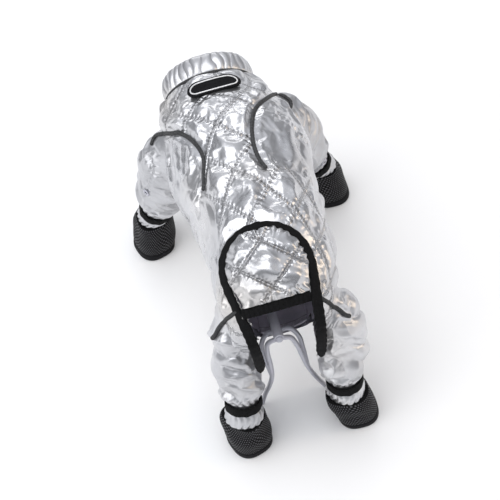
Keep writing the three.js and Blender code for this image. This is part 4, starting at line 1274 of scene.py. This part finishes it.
def makeBoot(name, leg):
    # up the outside, over a rounded rim and down inside
    rows = [(8.2, 0.0), (9.0, 0.25)] + [(z, 0.25) for z in np.linspace(11, 48, 26)]
    rows += [(49.3, 0.1), (50.0, -0.6), (50.2, -1.3), (49.8, -2.1), (48.5, -2.6), (40, -2.7), (26, -2.7),
             (9, -2.7)]
    z, lift = np.array(rows).T
    u = np.arange(120) / 120
    points = bootPoint(leg, u[None, :], z[:, None], lift[:, None])
    bend = 1.3 * waves(points, 40, salt=31 + int(leg["yaw"])) * ramp(z, 12, 34)[:, None]
    away = unit(points - points.mean(1, keepdims=True))
    points = points + away * bend[..., None] * (lift > -2)[:, None, None]
    maps = {"cloth": lambda r, c: (c * 151 / 120, z[np.minimum(r, len(z) - 1)])}
    makePiece("boot_%s_rubber" % name, points, bootRubber, "boot_" + name, around=True, maps=maps)
    rows = [(0.0, -3.0), (0.0, -1.2), (0.5, -0.2), (1.4, 0.45), (3.0, 0.6), (6.6, 0.6), (7.7, 0.45),
            (8.1, 0.0), (8.1, -2.0)]
    z, lift = np.array(rows).T
    points = bootPoint(leg, u[None, :], z[:, None], lift[:, None])
    makePiece("sole_%s_rubber" % name, points, soleRubber, "sole_" + name, around=True, caps=True)


def makeCuff(name, leg):
    count, sides = 200, 24
    centre, along, across, back = legFrame(leg, 1.0)
    t = 2 * np.pi * np.arange(count) / count
    outs = np.cos(t)[:, None] * across + np.sin(t)[:, None] * back
    path = centre + outs * (ankle["radius"] + 1.8 + 0.25 * np.sin(9 * t)[:, None])
    section = tape(ankle["cuffHeight"], 2.6, sides, 3.2)
    rings = sweep(path, outs, section[None] * (1 + 0.04 * np.sin(13 * t))[:, None, None], ring=True)
    maps = {"cloth": lambda r, c: (r * 0.57, c * 1.1)}
    makePiece("cuff_%s_elastic" % name, rings, elastic, "cuff_" + name, around=True, ring=True, maps=maps,
              flip=True)


def makeAnkleSkirt(name, leg, salt):
    # pleated cloth from under the cuff, out to the boot's rim and down inside it
    centre, along, across, back = legFrame(leg, 1.0)
    rim = rimCentre(leg)
    columns = 150
    u = np.arange(columns) / columns
    t = 2 * np.pi * u
    flat = np.cos(t)[:, None] * across + np.sin(t)[:, None] * back
    level = np.cos(t)[:, None] * np.array([1.0, 0, 0]) - np.sin(t)[:, None] * np.array([0, 1.0, 0])
    top = centre + along * 2.0
    rings = []
    for v in np.linspace(0, 1, 26):
        middle = top + (rim + np.array([0, 0, 1.0]) - top) * v
        radius = ankle["radius"] - 0.6 + 4.2 * math.sin(min(1, v * 1.15) * math.pi / 2) ** 0.8
        pleat = 2.4 * v * (1 - 0.45 * v) * (np.abs(np.sin(8.5 * t + 2 * math.sin(3 * v) + salt))
                                            - 0.5) + 0.8 * v * np.sin(3 * t + salt)
        way = unit(flat * (1 - v) + level * v)
        rings.append(middle + way * (radius + pleat)[:, None])
    for z in (49.0, 46.0, 41.0, 38.2):
        rings.append(bootPoint(leg, 1 - u, z, -boot["wall"] - 1.0))
    points = np.array(rings)
    piece = makePiece("ankle_skirt_%s_cloth" % name, points, silverPlain, "ankle_skirt_" + name,
                      around=True, thickness=0.8)


for salt, (name, leg) in enumerate(legs.items()):
    makeBoot(name, leg)
    makeCuff(name, leg)
    makeAnkleSkirt(name, leg, 1.7 * salt)
print("boots and cuffs made")


# stand

stand = {
    "railRadius": 5.0, "bore": 3.5, "railLength": 236.0, "railRear": 2.0, "offset": -10.0, "height": 178.0,
    "rodRadius": 2.5, "braceAhead": 13.0, "footInset": 23.0, "footAhead": 36.0, "footClear": 0.86,
}
bowPoints = [(0.38, 0.24, 0.16, 0.95), (0.48, 0.37, 0.22, 0.84), (0.46, 0.45, 0.26, 0.7),
             (0.48, 0.54, 0.34, 0.55),
             (0.6, 0.66, 0.54, 0.38), (0.8, 0.8, 0.78, 0.2)]
bracePoints = [(0.32, 0.27, 0.36, 0.965), (0.6, 0.46, 0.4, 0.86), (0.58, 0.52, 0.42, 0.7)]


def rodRings(points):
    path = evened(points, 150)
    steady = np.broadcast_to(np.array([0.01, 1.0, 0.02]), path.shape)
    return sweep(path, steady, tapered(roundSection(stand["rodRadius"], 16), 150, 2))


def makeStand():
    s = stand
    under = s["height"] - (s["railRadius"] - s["rodRadius"])
    profile = [(3, s["bore"]), (2.6, s["bore"] + 0.4), (2.6, s["bore"] + 0.9), (3.1, 5.0), (4.0, 5.0),
               (235.0, 5.0), (236, 4.8), (236, s["bore"]), (120, s["bore"])]
    t = 2 * np.pi * np.arange(48) / 48
    rings = [[(s["offset"] + r * math.cos(a), s["railRear"] + y,
               s["height"] + r * math.sin(a)) for a in t] for y, r in profile + [(3, s["bore"])]]
    makePiece("stand_rail", np.array(rings), steelPaint, "wire_stand", around=True)
    turn, tip = np.meshgrid(t, np.linspace(0.03, 0.97, 14) * np.pi)
    bead = np.stack([np.sin(tip) * np.cos(turn) * 4.4, -np.cos(tip) * 3.6,
                     np.sin(tip) * np.sin(turn) * 4.0], -1)
    makePiece("stand_solder", bead + [s["offset"], s["railRear"] + 4, under + 0.6], steelPaint, around=True,
              caps=True, flip=True)
    for name, leg in legs.items():
        if leg["front"]:
            start = np.array([s["offset"], s["railRear"] + s["railLength"] - 5, under])
            line = [start, *pointAt(leg["curve"], [0.32, 0.6, 0.85]), rimCentre(leg),
                    leg["foot"] * [1, 1, 0] + [0, 0, boot["sole"] + 0.9]]
            makePiece("stand_rod_" + name, rodRings(line), steelPaint, around=True, caps=True)
            continue
        foot = leg["foot"] + np.array([-leg["side"] * s["footInset"], s["footAhead"], s["footClear"]])
        sideways = 1 if leg["side"] > 0 else 0
        at = lambda row: np.array([s["offset"] + (foot[0] - s["offset"]) * row[sideways],
                                   s["railRear"] + (foot[1] - s["railRear"]) * row[2], row[3] * s["height"]])
        places = [at(row) for row in bowPoints]
        bow = [np.array([s["offset"], s["railRear"] + 5, under]), *places, foot]
        makePiece("stand_bow_" + name, rodRings(bow), steelPaint, around=True, caps=True)
        brace = [np.array([s["offset"], s["railRear"] + s["braceAhead"], under]),
                 *[at(row) for row in bracePoints], places[3]]
        makePiece("stand_brace_" + name, rodRings(brace), steelPaint, around=True, caps=True)


makeStand()
eyelets = {"eyelet_right": ("front_right", 0.14, 0.85), "eyelet_left": ("front_left", 0.42, 0.52)}


def makeEyelet(node, name, turn, along):
    # a washer with a rounded section, and a black disc in it as painted shade for its dark hole
    leg = legs[name]
    view = bpy.context.evaluated_depsgraph_get()
    cloth = BVHTree.FromObject(bpy.data.objects[node.replace("eyelet", "sleeve") + "_cloth"], view)
    base, out = legPoint(leg, turn, along), unit(legPoint(leg, turn, along, 1.0) - legPoint(leg, turn, along))
    hit, *_ = cloth.ray_cast(Vector((base + out * 25 + patternToPart) * 0.001), Vector(-out))
    place = np.array(hit) * 1000 - patternToPart + out * 0.5 if hit else base + out * 3
    side = unit(np.cross(out, [0, 0, 1.0]))
    up = np.cross(out, side)
    t = 2 * np.pi * np.arange(40) / 40
    spokes = np.cos(t)[:, None] * side + np.sin(t)[:, None] * up
    section = tape(2.7, 1.6, 14, 2.4)
    rings = place + spokes[:, None] * (3.1 + section[None, :, :1]) + out * section[None, :, 1:]
    makePiece(node + "_washer", rings, steelPaint, node, around=True, ring=True)
    # black disc: painted shade seen through the eyelet's hole
    hole = place + spokes[None] * np.array([0.1, 1.0, 1.95])[:, None, None] - out * 0.1
    makePiece(node + "_hole", hole, blackTape, around=True, flip=True)


for node, where in eyelets.items():
    makeEyelet(node, *where)
print("stand made")


# floor, light and camera

def makeFloor():
    made = Finish("pale floor", Roughness=0.9)
    made.feed(Base_Color=made.between(made.noise(2.0, 1.0) * 0.1, (0.93, 0.93, 0.93, 1), (0.9, 0.9, 0.9, 1)))
    mesh = bpy.data.meshes.new("floor")
    mesh.from_pydata([(-8, -8, 0), (8, -8, 0), (8, 8, 0), (-8, 8, 0)], [], [(0, 1, 2, 3)])
    mesh.materials.append(made.material)
    floor = bpy.data.objects.new("floor", mesh)
    bpy.context.scene.collection.objects.link(floor)


def addLight(name, place, aim, size, power, colour=(1, 1, 1)):
    lamp = bpy.data.lights.new(name, "AREA")
    lamp.shape = "RECTANGLE"
    lamp.size, lamp.size_y = size
    lamp.energy = power
    lamp.color = colour
    made = bpy.data.objects.new(name, lamp)
    made.location = place
    made.rotation_euler = (Vector(aim) - Vector(place)).to_track_quat("-Z", "Y").to_euler()
    bpy.context.scene.collection.objects.link(made)


def makeCamera():
    azimuth, elevation, roll = math.radians(-4.5), math.radians(53), math.radians(12)
    back = np.array([math.sin(azimuth) * math.cos(elevation), -math.cos(azimuth) * math.cos(elevation),
                     math.sin(elevation)])
    right = np.array([math.cos(azimuth), math.sin(azimuth), 0])
    up = np.cross(back, right)
    tiltedRight = right * math.cos(roll) - up * math.sin(roll)
    tiltedUp = right * math.sin(roll) + up * math.cos(roll)
    target = (np.array([-8.7, 146.5, 138.9]) + patternToPart) * 0.001
    lens = bpy.data.cameras.new("camera")
    lens.sensor_width = 36
    lens.lens = 1540.7 * 36 / 500
    lens.clip_start, lens.clip_end = 0.05, 50
    made = bpy.data.objects.new("camera", lens)
    axes = np.eye(4)
    axes[:3, 0], axes[:3, 1], axes[:3, 2], axes[:3, 3] = tiltedRight, tiltedUp, back, target + back * 1.6
    made.matrix_world = Matrix(axes.tolist())
    bpy.context.scene.collection.objects.link(made)
    bpy.context.scene.camera = made


makeFloor()
makeCamera()
addLight("top window", (-0.4, -0.1, 1.9), (0, 0, 0.15), (1.9, 1.9), 19)
addLight("left window", (-1.7, -0.5, 0.9), (0, 0, 0.15), (1.3, 1.3), 9)
addLight("right strip", (1.5, -0.4, 0.7), (0, 0, 0.15), (0.6, 1.3), 5, (1.0, 0.82, 0.62))
addLight("rear strip", (0.2, 1.8, 1.0), (0, 0, 0.15), (1.6, 0.5), 6)
world = bpy.data.worlds.new("studio")
world.use_nodes = True
sky = world.node_tree
coordinate, split = sky.nodes.new("ShaderNodeTexCoord"), sky.nodes.new("ShaderNodeSeparateXYZ")
shade = sky.nodes.new("ShaderNodeMapRange")
shade.inputs["From Min"].default_value, shade.inputs["From Max"].default_value = 0.05, 0.75
shade.inputs["To Min"].default_value, shade.inputs["To Max"].default_value = 0.22, 0.85
sky.links.new(coordinate.outputs["Generated"], split.inputs[0])
sky.links.new(split.outputs["Z"], shade.inputs["Value"])
sky.links.new(shade.outputs[0], sky.nodes["Background"].inputs["Strength"])
sky.nodes["Background"].inputs["Color"].default_value = (0.86, 0.88, 0.93, 1)
bpy.context.scene.world = world
bpy.context.scene.view_settings.view_transform = "Standard"
